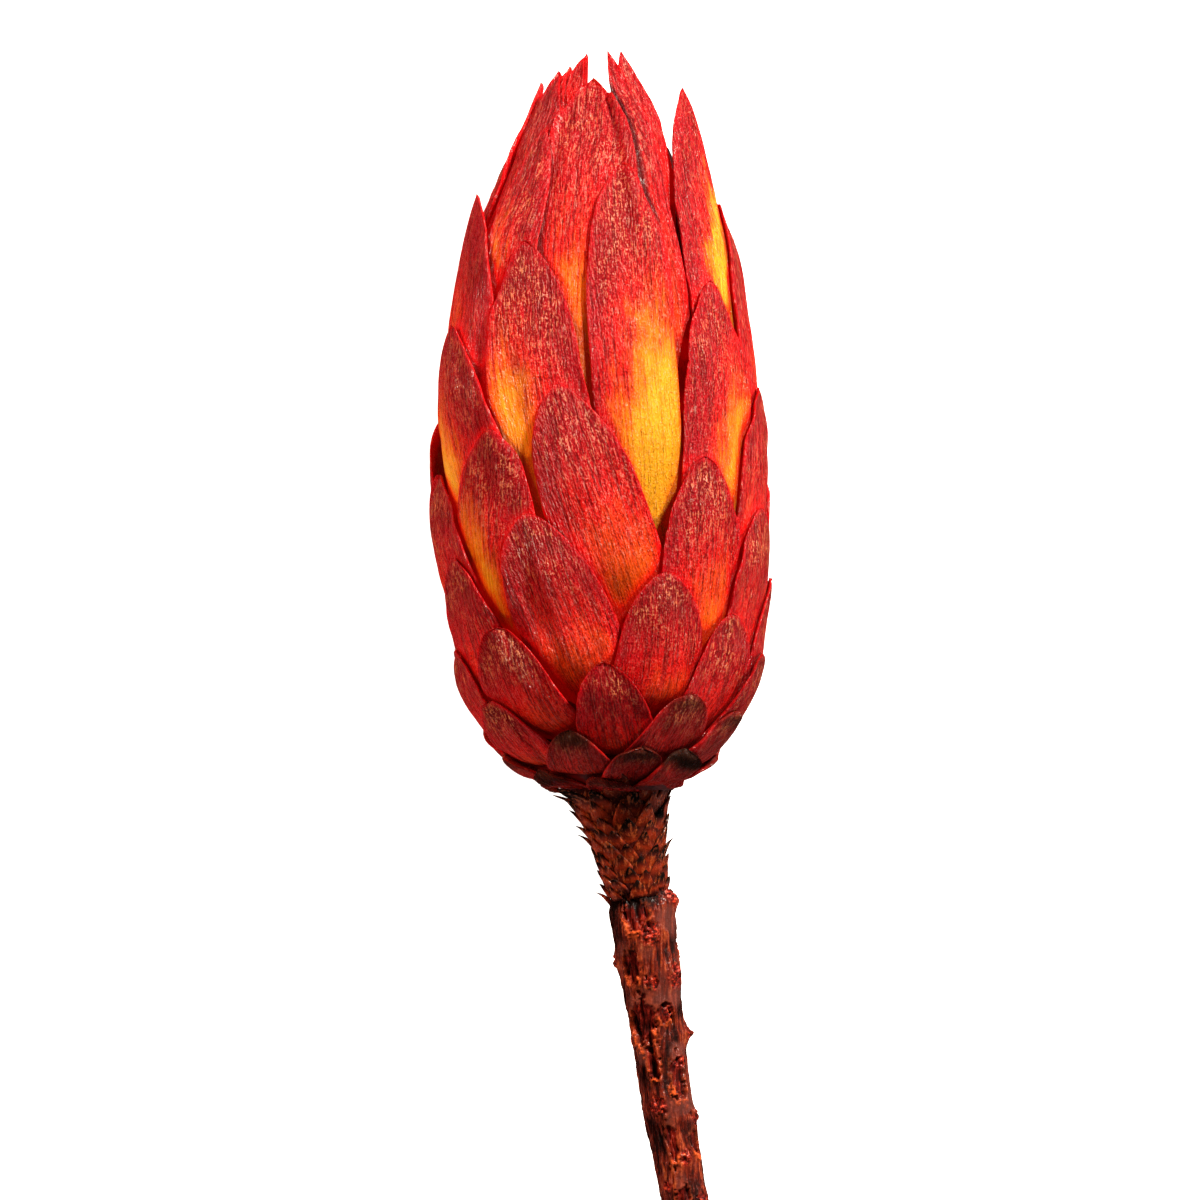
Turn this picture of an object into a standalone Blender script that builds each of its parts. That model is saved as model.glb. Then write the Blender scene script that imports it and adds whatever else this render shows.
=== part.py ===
"""A dried sugarbush flower: a closed head of overlapping bracts on a cut woody stem, lying down.

The flower is drawn along +Y, from the neck (where the head meets the stem) to the tips of the
bracts, with +Z facing up. An empty then lays it on the surface at z = 0, its nose a little low.
Everything is in metres.
"""

import math

import bmesh
import bpy
import numpy as np

MM = 0.001

# Where the flower lies: the neck's place, and how far the nose of the head dips.
NECK_AT = (0.0009, -0.0140, 0.0223)
NOSE_DIP = math.radians(3.0)

# The smooth skin that the tips of the bracts lie in: height above the neck, radius.
HEAD_PROFILE = np.array([
    (0.0, 7.4), (0.8, 8.8), (2.2, 11.0), (5.0, 14.2), (8.5, 17.0), (12.0, 19.0), (16.0, 20.1),
    (21.0, 20.9), (28.0, 22.0), (36.0, 22.4), (45.0, 22.3), (53.0, 21.6), (62.0, 19.8),
    (70.0, 18.1), (77.0, 15.4), (83.0, 12.9), (88.0, 10.4), (92.0, 8.0), (96.0, 5.1),
    (98.0, 3.6),
]) * MM
HEAD_HEIGHT = HEAD_PROFILE[-1, 0]
NECK_LEAN = 1.6 * MM       # the neck stands this far to the right of the head's axis
NECK_LEAN_HEIGHT = 2.8 * MM
BOW = 1.4 * MM             # between these heights the axis bows this far to the left
BOW_FROM, BOW_TO = 18.0 * MM, 84.0 * MM

# Bracts are numbered up the spiral. At a few of them: tip height, half width, tip taper.
FIRST_BRACT, LAST_BRACT = -26, 50
GROWTH_AT = np.array([-26, -21, -16, -13, -8, -5, 0, 8, 16, 21, 26, 29, 34, 38, 42, 50])
TIP_HEIGHT = np.array([
    0.9, 1.9, 3.4, 5.2, 8.2, 11.2, 16.2, 28.0, 43.4, 54.0, 71.0, 81.2, 92.2, 94.6, 95.6, 94.8,
]) * MM
HALF_WIDTH = np.array([
    3.2, 3.6, 4.0, 4.3, 5.0, 5.7, 6.8, 7.6, 7.9, 8.2, 7.4, 7.0, 6.4, 5.6, 4.8, 3.6,
]) * MM
TIP_TAPER = np.array([
    1.6, 1.8, 2.0, 2.3, 3.0, 3.4, 4.0, 4.7, 5.6, 6.4, 7.2, 8.0, 8.6, 9.0, 9.0, 8.0,
]) * MM

GOLDEN_ANGLE = math.radians(137.5077)
SPIRAL_START = math.radians(-1.0)
SPIRAL_TILT = 0.12         # the spiral stands square to the stem, so it is higher on the right
LAYER_SHARE = 0.033        # of its half width: how far a bract lies under the one before it
CROWN = 24.0               # how much more sharply a bract is curved across than the head, per m
TIP_THICKNESS = 0.8 * MM
THICKNESS_GROWTH = 0.38    # a bract thickens this fast from its tip down
MOST_THICKNESS = 3.4 * MM
HIDDEN_STEPS = 16          # a bract runs down to the height of the tip this many numbers before
HIDDEN_LENGTH = 4.0 * MM
FLARE_LENGTH = 7.0 * MM

# How the bracts that face up stand off the rule: turn in degrees, rise in mm, lean of the tip
# in degrees, flare of the tip in mm, and width as a share of the rule's.
SEEN = {
    -21: (3, 0.0, 0, 0.1, 1),
    -18: (0, 1.5, 0, 0.1, 1), -16: (-10, 0.2, 0, 0.1, 1), -13: (6, 0.0, 0, 0.1, 1),
    -10: (0, 1.6, 0, 0.2, 1), -8: (3, -0.4, 0, 0.1, 1), -5: (3, -0.4, 4, 0.2, 1),
    -3: (1, 0.0, 0, 0.1, 1), -2: (-9, 1.2, 0, 0.3, 1), 0: (0, -0.3, -9, 0.4, 0.84),
    2: (12, 1.4, 0, 0.2, 1), 3: (0, -0.3, 3, 0.4, 0.9), 5: (-6, -1.0, -2, 0.3, 0.97),
    6: (-20, 0.0, 0, 0.3, 1), 7: (10, 0.0, 0, 0.3, 1), 8: (3, -1.2, 2, 0.6, 0.88),
    10: (9, 0.0, 0, 0.3, 0.88), 11: (-2, 0.0, 0, 0.2, 1), 13: (-7, -0.6, -15, 0.6, 0.94),
    14: (-8, 0.0, 0, 0.3, 1), 15: (28, 1.7, -6, 0.8, 1), 16: (-2, -2.4, 0, 0.5, 0.86),
    18: (5, 0.8, -5, 0.4, 0.94), 19: (-17, -0.2, 2, 1.1, 1), 20: (18, 0.0, 0, 0.3, 1),
    21: (-21, -2.2, -18, 0.6, 0.97), 23: (13, 1.8, -10, 1.4, 1), 24: (-13, -1.4, 0, 0.6, 0.87),
    26: (-8, -0.2, -3, 0.8, 0.93), 27: (-32, 0.6, 0, 1.6, 1), 28: (41, 0.4, -14, 3.2, 1),
    29: (-15, -1.2, -3, 0.8, 0.94), 31: (14, 0.2, 0, 0.7, 1), 32: (-19, 2.0, 0, 4.7, 1),
    33: (12, 0.0, 0, 0.4, 1), 34: (-3, 0.0, -2, 1.0, 1.25), 35: (-15, -5.0, 0, 0.2, 1),
    36: (4, 0.6, 0, 1.7, 1), 37: (-35, 1.5, -12, 0.9, 0.62), 38: (0, -3.5, 0, 0.0, 1),
    39: (-14, -1.0, -3, 1.4, 1.1), 40: (0, -11.0, 0, 0.0, 1), 42: (4, 0.5, -8, 0.9, 1.1),
    43: (0, -2.0, 0, 0.0, 1), 44: (20, -0.4, 0, 0.4, 1.0), 45: (0, -11.0, 0, 0.0, 1),
    46: (-4, 2.6, 0, 0.9, 0.9), 47: (-17, 0.8, 0, 0.4, 0.9), 48: (0, -7.0, 0, 0.0, 1),
    50: (0, -5.0, 0, 0.0, 1),
}
SCATTER_SEED = 7
SCATTER = np.array([3.5, 4.0, 0.12])    # of the others' turn, lean and flare, in the same units
FLARE = 0.45                            # the others' flare at the widest bract, in mm

# The core that the bracts stand on: how far it lies under the skin, and where it closes.
CORE_DEPTH = 4.4 * MM
CORE_TOP = 86.0 * MM
CORE_FOOT = 6.0 * MM
CORE_SIDES = 24

# The stem's line: how far down from the neck, how far right of the head's axis, radius.
STEM_LINE = np.array([
    (0.0, 1.6, 7.1), (2.0, 2.0, 6.1), (5.0, 2.6, 5.2), (9.0, 3.3, 4.5), (13.0, 4.0, 4.2),
    (20.0, 5.1, 3.95), (27.0, 6.0, 3.6), (34.0, 6.9, 3.3), (41.0, 7.9, 3.1), (49.0, 9.4, 2.9),
    (58.0, 10.8, 2.85), (69.0, 12.4, 2.8),
]) * MM
CLEARANCE = 0.3 * MM       # between the head, the collar and the stem
COLLAR_END = 13.2 * MM
STEM_SIDES, STEM_RINGS = 16, 40
COLLAR_RINGS = 6
FURROWS, FURROW_DEPTH, FURROW_TWIST = 5, 0.10 * MM, 60.0

# Leaf scars and knobs seen on the stem: distance down, turn in degrees, size, height.
SCARS = [
    (13.8, 78, 1.5, 1.7), (19.5, 20, 2.4, 0.5), (24.0, -28, 2.2, 0.5), (24.5, 62, 1.8, 0.8),
    (31.0, 8, 1.9, 0.4), (32.5, 88, 1.3, 1.1), (33.5, -82, 1.3, 0.5), (39.0, -22, 2.0, 0.6),
    (42.5, 82, 1.4, 0.7), (46.0, 25, 1.7, 0.45), (48.5, -75, 1.3, 0.4),
]
SCAR_SPACING = 4.2 * MM    # the rest follow up the stem by the golden angle, out of sight
SCAR_SIZE, SCAR_HEIGHT = 1.6 * MM, 0.55 * MM

# The small scale leaves that sheathe the collar.
SCALES = 30
SCALE_FIRST, SCALE_LAST = 0.8 * MM, 9.4 * MM
SCALE_LENGTH, SCALE_HALF_WIDTH, SCALE_THICKNESS = 3.6 * MM, 2.3 * MM, 0.65 * MM
SCALE_STAND = 0.8 * MM
SCALE_ROOT_DEPTH = 0.8 * MM


def smooth_line(knots, samples=8):
    """A Catmull-Rom curve through the knots, with the same number of points in each span."""
    ends = np.vstack([2 * knots[0] - knots[1], knots, 2 * knots[-1] - knots[-2]])
    f = np.linspace(0, 1, samples, endpoint=False)[:, None]
    spans = [
        0.5 * (2 * b + (c - a) * f + (2 * a - 5 * b + 4 * c - d) * f**2
               + (3 * b - a - 3 * c + d) * f**3)
        for a, b, c, d in zip(ends, ends[1:], ends[2:], ends[3:])
    ]
    return np.vstack(spans + [knots[-1:]])


class Skin:
    """The head's smooth skin, read by the distance run along its profile from the neck."""

    def __init__(self, profile):
        self.height, self.radius = smooth_line(profile).T
        steps = np.hypot(np.diff(self.height), np.diff(self.radius))
        self.run = np.concatenate([[0.0], np.cumsum(steps)])
        slope_height = np.gradient(self.height, self.run)
        slope_radius = np.gradient(self.radius, self.run)
        length = np.hypot(slope_height, slope_radius)
        self.out_radius = slope_height / length
        self.out_height = -slope_radius / length

    def run_at(self, height):
        return np.interp(height, self.height, self.run)

    def at(self, run, depth):
        """Height and radius of the point this far under the skin, square to it."""
        out_height = np.interp(run, self.run, self.out_height)
        out_radius = np.interp(run, self.run, self.out_radius)
        height = np.interp(run, self.run, self.height) - out_height * depth
        radius = np.interp(run, self.run, self.radius) - out_radius * depth
        return height, radius


def around_axis(height, radius, turn):
    """Points round the head's axis, which bends over to the neck near its foot."""
    height, radius, turn = np.broadcast_arrays(height, radius, turn)
    bend = NECK_LEAN * np.clip(1 - height / NECK_LEAN_HEIGHT, 0, None) ** 2
    bend = bend - BOW * np.sin(np.pi * np.clip((height - BOW_FROM) / (BOW_TO - BOW_FROM), 0, 1))
    return np.stack([bend + radius * np.sin(turn), height, radius * np.cos(turn)], axis=-1)


def number_at(height):
    """Which number's tip the rule puts at this height."""
    return np.interp(height, TIP_HEIGHT[:-1], GROWTH_AT[:-1])


def layer_depth(number):
    """How far under the first bract's layer this number's layer lies."""
    numbers = np.arange(FIRST_BRACT, LAST_BRACT + 1)
    steps = LAYER_SHARE * np.interp(numbers, GROWTH_AT, HALF_WIDTH)
    return np.interp(number, numbers, np.cumsum(steps))


class Bract:
    """One bract: its number sets its turn, height and size, and its layer in the head."""

    scatter = np.random.default_rng(SCATTER_SEED).normal(size=(LAST_BRACT - FIRST_BRACT + 1, 3))

    def __init__(self, number, skin):
        self.number, self.skin = number, skin
        self.half_width = np.interp(number, GROWTH_AT, HALF_WIDTH)
        turn, lean, flare = SCATTER * self.scatter[number - FIRST_BRACT]
        rise, width, flare = 0.0, 1.0, flare + FLARE * self.half_width / HALF_WIDTH.max()
        if number in SEEN:
            turn, rise, lean, flare, width = SEEN[number]
        self.half_width *= width
        self.turn = SPIRAL_START + GOLDEN_ANGLE * number + math.radians(turn)
        self.lean, self.flare = math.radians(lean), max(0.0, flare * MM)
        height = np.interp(number, GROWTH_AT, TIP_HEIGHT) + rise * MM
        _, radius = skin.at(skin.run_at(height), 0.0)
        height = min(height + SPIRAL_TILT * radius * math.sin(self.turn), HEAD_HEIGHT)
        self.tip = skin.run_at(max(height, HEAD_PROFILE[0, 0] + 0.6 * MM))
        self.taper = np.interp(number, GROWTH_AT, TIP_TAPER)
        foot = skin.run_at(np.interp(number - HIDDEN_STEPS, GROWTH_AT, TIP_HEIGHT)) - HIDDEN_LENGTH
        self.length = self.tip - max(foot, 0.0)

    def surface(self, across, down, under=0.0):
        """Points of the bract's outer face, or of one this far under it.

        across runs from -1 to 1 between the margins, and down is the distance from the tip. The
        half width grows as 1 - exp(-down / taper). The face lies in the layer that its number
        gives at that height, bulges across, and lifts off the layer below at its tip.
        """
        run = np.clip(self.tip - down, 0, None)
        skin_height, skin_radius = self.skin.at(run, 0.0)
        level = skin_height - SPIRAL_TILT * skin_radius * math.sin(self.turn)
        layer = layer_depth(self.number) - layer_depth(number_at(level))
        side = across * self.half_width * (1 - np.exp(-down / self.taper))
        lift = self.flare * np.clip(1 - down / FLARE_LENGTH, 0, None) ** 2
        height, radius = self.skin.at(run, layer + CROWN * side**2 / 2 - lift + under)
        lean = down * math.tan(self.lean)
        turn = self.turn + (side - lean) / np.maximum(skin_radius, 3 * MM)
        return around_axis(height, radius, turn)

    def thickness(self, down):
        return np.minimum(TIP_THICKNESS + THICKNESS_GROWTH * down, MOST_THICKNESS)


def mesh_object(name, points, faces, collection=None):
    mesh = bpy.data.meshes.new(name)
    mesh.from_pydata(points.tolist(), [], faces)
    mesh.validate()
    obj = bpy.data.objects.new(name, mesh)
    (collection or bpy.context.scene.collection).objects.link(obj)
    return obj


def blade(name, outer, inner, collection):
    """A closed blade between two grids of points, whose first row is the tip."""
    rows, columns = outer.shape[:2]
    points = np.concatenate([outer.reshape(-1, 3), inner.reshape(-1, 3)])
    index = np.arange(rows * columns).reshape(rows, columns)
    under = index + rows * columns
    faces = []
    for r in range(rows - 1):
        for c in range(columns - 1):
            a, b, d, e = index[r, c], index[r, c + 1], index[r + 1, c + 1], index[r + 1, c]
            faces.append((a, e, d, b))
            a, b, d, e = under[r, c], under[r, c + 1], under[r + 1, c + 1], under[r + 1, c]
            faces.append((a, b, d, e))
    rim = [*index[0, :], *index[1:, -1], *index[-1, -2::-1], *index[-2:0:-1, 0]]
    for a, b in zip(rim, rim[1:] + rim[:1]):
        faces.append((a, b, b + rows * columns, a + rows * columns))
    obj = mesh_object(name, points, [tuple(int(i) for i in f) for f in faces], collection)
    bm = bmesh.new()
    bm.from_mesh(obj.data)
    bmesh.ops.remove_doubles(bm, verts=bm.verts, dist=1e-6)
    bmesh.ops.recalc_face_normals(bm, faces=bm.faces)
    bm.to_mesh(obj.data)
    bm.free()
    return obj


def tube(name, rings):
    """A closed tube through rings of points, with a flat end at each end."""
    count, sides = rings.shape[:2]
    faces = [
        (r * sides + s, r * sides + (s + 1) % sides,
         (r + 1) * sides + (s + 1) % sides, (r + 1) * sides + s)
        for r in range(count - 1) for s in range(sides)
    ]
    faces += [tuple(range(sides)), tuple(range(count * sides - 1, (count - 1) * sides - 1, -1))]
    obj = mesh_object(name, rings.reshape(-1, 3), faces)
    bm = bmesh.new()
    bm.from_mesh(obj.data)
    bmesh.ops.recalc_face_normals(bm, faces=bm.faces)
    bm.to_mesh(obj.data)
    bm.free()
    return obj


def fuse(body, repeats):
    """Joins a collection of closed shapes to the body they grow from, and keeps one solid."""
    union = body.modifiers.new("fuse", "BOOLEAN")
    union.operation = "UNION"
    union.operand_type = "COLLECTION"
    union.collection = repeats
    union.solver = "EXACT"
    graph = bpy.context.evaluated_depsgraph_get()
    fused = bpy.data.meshes.new_from_object(body.evaluated_get(graph))
    body.modifiers.clear()
    body.data = fused
    for obj in list(repeats.objects):
        bpy.data.objects.remove(obj)
    bpy.data.collections.remove(repeats)
    keep_largest(fused)


def keep_largest(mesh):
    """Drops loose scraps and the walls of any hollow that the union sealed: every shell but the
    largest, where faces are one shell if they share an edge."""
    bm = bmesh.new()
    bm.from_mesh(mesh)
    bmesh.ops.triangulate(bm, faces=bm.faces)
    left, largest = set(bm.faces), []
    while left:
        shell, edge_of_it = [], [left.pop()]
        while edge_of_it:
            face = edge_of_it.pop()
            shell.append(face)
            near = {f for e in face.edges for f in e.link_faces} & left
            left -= near
            edge_of_it.extend(near)
        largest = max(largest, shell, key=len)
    loose = list(set(bm.faces).difference(largest))
    bmesh.ops.delete(bm, geom=loose, context="FACES")
    bm.to_mesh(mesh)
    bm.free()


def flower_head(skin):
    """The core, with every bract of the spiral fused to it."""
    heights = np.concatenate([
        np.linspace(0.0, 12 * MM, 7), np.linspace(18 * MM, CORE_TOP - 6 * MM, 10),
        CORE_TOP - np.array([3.0, 1.0, 0.0]) * MM,
    ])
    runs = skin.run_at(heights)
    _, radius = skin.at(runs, 0.0)
    radius = radius - CORE_DEPTH * np.clip(heights / CORE_FOOT, 0, 1)
    radius[-2:] = radius[-3] * np.array([0.75, 0.35])
    turns = np.linspace(0, 2 * math.pi, CORE_SIDES, endpoint=False)
    rings = around_axis(heights[:, None], radius[:, None], turns[None, :])
    body = tube("flower_head", rings)

    bracts = bpy.data.collections.new("bracts")
    bpy.context.scene.collection.children.link(bracts)
    for number in range(FIRST_BRACT, LAST_BRACT + 1):
        bract = Bract(number, skin)
        small = bract.half_width < 4 * MM
        across = np.linspace(-1, 1, 4 if small else 5)[None, :]
        share = np.linspace(0, 1, 4 if small else 6)[:, None]
        down = 0.25 * MM + (bract.length - 0.25 * MM) * share**1.5
        outer = bract.surface(across, down)
        inner = bract.surface(across, down, bract.thickness(down))
        blade(f"bract_{number}", outer, inner, bracts)
    fuse(body, bracts)
    return body


def stem_frame(down):
    """Centre of the stem, its radius, and its two directions across, at a distance down."""
    line = smooth_line(STEM_LINE)
    x = np.interp(down, line[:, 0], line[:, 1])
    radius = np.interp(down, line[:, 0], line[:, 2])
    slope = np.interp(down, line[:, 0], np.gradient(line[:, 1], line[:, 0]))
    centre = np.stack([x, -down, np.zeros_like(down)], axis=-1)
    across = np.stack([np.ones_like(down), slope, np.zeros_like(down)], axis=-1)
    across /= np.linalg.norm(across, axis=-1, keepdims=True)
    return centre, radius, across, np.array([0.0, 0.0, 1.0])


def round_stem(down, turn, height):
    """Points at a turn round the stem, this high above its mean surface."""
    centre, radius, across, up = stem_frame(down)
    down, turn, radius, height = np.broadcast_arrays(down, turn, radius, height)
    out = (radius + height)[..., None]
    return centre + out * (np.sin(turn)[..., None] * across + np.cos(turn)[..., None] * up)


def all_scars():
    """The scars that are seen, and more by the golden angle on the side that lies down."""
    scars = [(down * MM, math.radians(turn), size * MM, height * MM)
             for down, turn, size, height in SCARS]
    turn, down = math.radians(120), 17.5 * MM
    while down < STEM_LINE[-1, 0] - 4 * MM:
        seen = math.cos(turn) > -0.1 and down < 50 * MM
        if not seen:
            scars.append((down, turn, SCAR_SIZE, SCAR_HEIGHT))
        down, turn = down + SCAR_SPACING, turn + GOLDEN_ANGLE
    return scars


def bark_height(down, turn):
    """How far the bark stands out: shallow furrows that wind slowly, and a bump with a sunk
    middle for each leaf scar."""
    height = FURROW_DEPTH * np.cos(FURROWS * turn + FURROW_TWIST * down)
    radius = np.interp(down, STEM_LINE[:, 0], STEM_LINE[:, 2])
    for scar_down, scar_turn, size, rise in all_scars():
        sideways = (turn - scar_turn + math.pi) % (2 * math.pi) - math.pi
        away = np.hypot(sideways * radius, (down - scar_down) * 0.8) / size
        height = height + rise * np.exp(-(away**2)) * (1 - 0.45 * np.exp(-((away / 0.45) ** 2)))
    return height


def stem():
    """The bark-covered stem, cut square at its lower end."""
    down = np.linspace(COLLAR_END + CLEARANCE, STEM_LINE[-1, 0], STEM_RINGS)[:, None]
    turns = np.linspace(0, 2 * math.pi, STEM_SIDES, endpoint=False)[None, :]
    rings = round_stem(down, turns, bark_height(down, turns))
    rings[0, :, 1] = -(COLLAR_END + CLEARANCE)
    return tube("stem", rings)


def collar():
    """The neck of the stem between head and bark, with its scale leaves fused on."""
    down = np.linspace(CLEARANCE, COLLAR_END, COLLAR_RINGS)[:, None]
    turns = np.linspace(0, 2 * math.pi, STEM_SIDES, endpoint=False)[None, :]
    rings = round_stem(down, turns, np.zeros_like(down))
    rings[0, :, 1] = -CLEARANCE
    rings[-1, :, 1] = -COLLAR_END
    body = tube("scale_collar", rings)

    scales = bpy.data.collections.new("scales")
    bpy.context.scene.collection.children.link(scales)
    stands = np.random.default_rng(SCATTER_SEED).uniform(0.5, 1.3, SCALES)
    for number, stand in enumerate(stands):
        tip = SCALE_FIRST + (SCALE_LAST - SCALE_FIRST) * number / (SCALES - 1)
        scale_leaf(f"scale_{number}", tip, -GOLDEN_ANGLE * number, stand, scales)
    fuse(body, scales)
    return body


def scale_leaf(name, tip, turn, stand, collection):
    """A pointed scale, sunk in the collar at its root, its tip standing a little away."""
    across = np.linspace(-1, 1, 3)[None, :]
    share = np.array([0.0, 0.4, 1.0])[:, None]
    down = tip + SCALE_LENGTH * share
    _, radius, _, _ = stem_frame(down)
    width = SCALE_HALF_WIDTH * (0.04 + 0.96 * share**0.8)
    lift = SCALE_STAND * stand * (1 - share) ** 1.5 + 0.35 * MM * (1 - share)
    lift = lift - SCALE_ROOT_DEPTH * share**2 - 0.3 * MM * across**2 * share
    side = turn + across * width / radius
    thickness = SCALE_THICKNESS + 1.2 * MM * share
    blade(name, round_stem(down, side, lift), round_stem(down, side, lift - thickness), collection)


def material(name, colour, roughness):
    made = bpy.data.materials.new(name)
    made.use_nodes = True
    shader = made.node_tree.nodes["Principled BSDF"]
    shader.inputs["Base Color"].default_value = (*colour, 1.0)
    shader.inputs["Roughness"].default_value = roughness
    shader.inputs["Metallic"].default_value = 0.0
    return made


def surface_cutter():
    """The surface that the flower lies on: it presses a small flat spot into the bracts."""
    depth = 10 * MM
    bm = bmesh.new()
    bmesh.ops.create_cube(bm, size=1.0)
    bmesh.ops.scale(bm, verts=bm.verts, vec=(0.08, 0.2, depth))
    bmesh.ops.translate(bm, verts=bm.verts, vec=(0.0, 0.0, -depth / 2))
    mesh = bpy.data.meshes.new("surface")
    bm.to_mesh(mesh)
    bm.free()
    cutter = bpy.data.objects.new("surface", mesh)
    bpy.context.scene.collection.objects.link(cutter)
    cutter.hide_render = True
    cutter.display_type = "WIRE"
    return cutter


def main():
    for obj in list(bpy.data.objects):
        bpy.data.objects.remove(obj)
    lying = bpy.data.objects.new("lying", None)
    bpy.context.scene.collection.objects.link(lying)
    lying.location = NECK_AT
    lying.rotation_euler = (-NOSE_DIP, 0.0, 0.0)

    head = flower_head(Skin(HEAD_PROFILE))
    head.data.materials.append(material("dried_bract", (0.55, 0.05, 0.04), 0.5))
    neck = collar()
    neck.data.materials.append(material("brown_scale", (0.22, 0.07, 0.03), 0.65))
    twig = stem()
    twig.data.materials.append(material("bark", (0.16, 0.05, 0.03), 0.7))
    for obj in (head, neck, twig):
        obj.parent = lying
        obj.data.shade_smooth()
        obj.data.set_sharp_from_angle(angle=math.radians(35))

    rest = head.modifiers.new("rest", "BOOLEAN")
    rest.operation = "DIFFERENCE"
    rest.object = surface_cutter()


main()
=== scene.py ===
"""The looks of a dried sugarbush flower that lies on a pale surface, seen from above.

Each piece is a surface worked out with numpy as whole arrays, in the flower's own frame: +Y runs
from the neck to the tips of the bracts, +Z faces up and +X is to the right. lay_down() then puts
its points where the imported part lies. Lengths are in metres, or in millimetres times MM.
"""

import itertools
import math

import bpy
import numpy as np
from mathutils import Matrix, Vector


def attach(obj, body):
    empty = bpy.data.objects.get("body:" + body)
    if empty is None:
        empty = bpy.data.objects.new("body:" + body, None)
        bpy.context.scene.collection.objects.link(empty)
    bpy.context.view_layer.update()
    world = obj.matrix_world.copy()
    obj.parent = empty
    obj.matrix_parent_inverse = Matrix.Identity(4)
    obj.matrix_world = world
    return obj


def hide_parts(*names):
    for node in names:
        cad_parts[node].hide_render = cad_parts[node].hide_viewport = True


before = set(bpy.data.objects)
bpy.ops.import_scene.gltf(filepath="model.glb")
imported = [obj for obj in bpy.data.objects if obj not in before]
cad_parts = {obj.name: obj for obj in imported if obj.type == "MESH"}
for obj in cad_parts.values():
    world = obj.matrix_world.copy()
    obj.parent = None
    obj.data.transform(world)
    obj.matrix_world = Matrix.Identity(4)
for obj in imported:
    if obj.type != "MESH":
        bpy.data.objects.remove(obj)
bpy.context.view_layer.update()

MM = 0.001

# Where the flower lies, and the skin of its head: height above the neck, radius.
NECK_AT = np.array([0.0009, -0.0140, 0.0223])
NOSE_DIP = math.radians(3.0)
HEAD_PROFILE = np.array([
    (0.0, 7.4), (0.8, 8.8), (2.2, 11.0), (5.0, 14.2), (8.5, 17.0), (12.0, 19.0), (16.0, 20.1),
    (21.0, 20.9), (28.0, 22.0), (36.0, 22.4), (45.0, 22.3), (53.0, 21.6), (62.0, 19.8),
    (70.0, 18.1), (77.0, 15.4), (83.0, 12.9), (88.0, 10.4), (92.0, 8.0), (96.0, 5.1),
    (98.0, 3.6),
]) * MM
HEAD_HEIGHT = HEAD_PROFILE[-1, 0]
NECK_LEAN, NECK_LEAN_HEIGHT = 1.6 * MM, 2.8 * MM
BOW, BOW_FROM, BOW_TO = 1.4 * MM, 18.0 * MM, 84.0 * MM

# The spiral of bracts, by number: tip height, half width and tip taper.
FIRST_BRACT, LAST_BRACT = -26, 50
GROWTH_AT = np.array([-26, -21, -16, -13, -8, -5, 0, 8, 16, 21, 26, 29, 34, 38, 42, 50])
TIP_HEIGHT = np.array([
    0.9, 1.9, 3.4, 5.2, 8.2, 11.2, 16.2, 28.0, 43.4, 54.0, 71.0, 81.2, 92.2, 94.6, 95.6, 94.8,
]) * MM
HALF_WIDTH = np.array([
    3.2, 3.6, 4.0, 4.3, 5.0, 5.7, 6.8, 7.6, 7.9, 8.2, 7.4, 7.0, 6.4, 5.6, 4.8, 3.6,
]) * MM
TIP_TAPER = np.array([
    1.6, 1.8, 2.0, 2.3, 3.0, 3.4, 4.0, 4.7, 5.6, 6.4, 7.2, 8.0, 8.6, 9.0, 9.0, 8.0,
]) * MM
GOLDEN_ANGLE = math.radians(137.5077)
SPIRAL_START = math.radians(-1.0)
SPIRAL_TILT = 0.12         # tips at the right stand higher, by this share of the skin's radius
LAYER_SHARE = 0.033        # each layer lies this share of a half width under the one before
CROWN = 40.0               # how round a bract is across: 1 over the radius in metres
BELLY = 0.6                # a bract's bare face stands this share nearer the skin than its layer
BODY_RISE = 0.55 * MM
TUCK, TUCK_SHARE = 2.0 * MM, 0.36
HIDDEN_STEPS, HIDDEN_LENGTH = 19, 4.0 * MM
BARE_STEPS = 14            # a bract shows down to the height of the tip this many numbers before

# The grid on which bracts are piled up, and how softly one rests on those under it.
PILE_TURNS, PILE_STEP, PILE_REACH, COVER_REACH = 720, 0.25 * MM, 3, 7
BLADE_GAP, SOFTNESS = 0.06 * MM, 0.25 * MM

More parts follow.
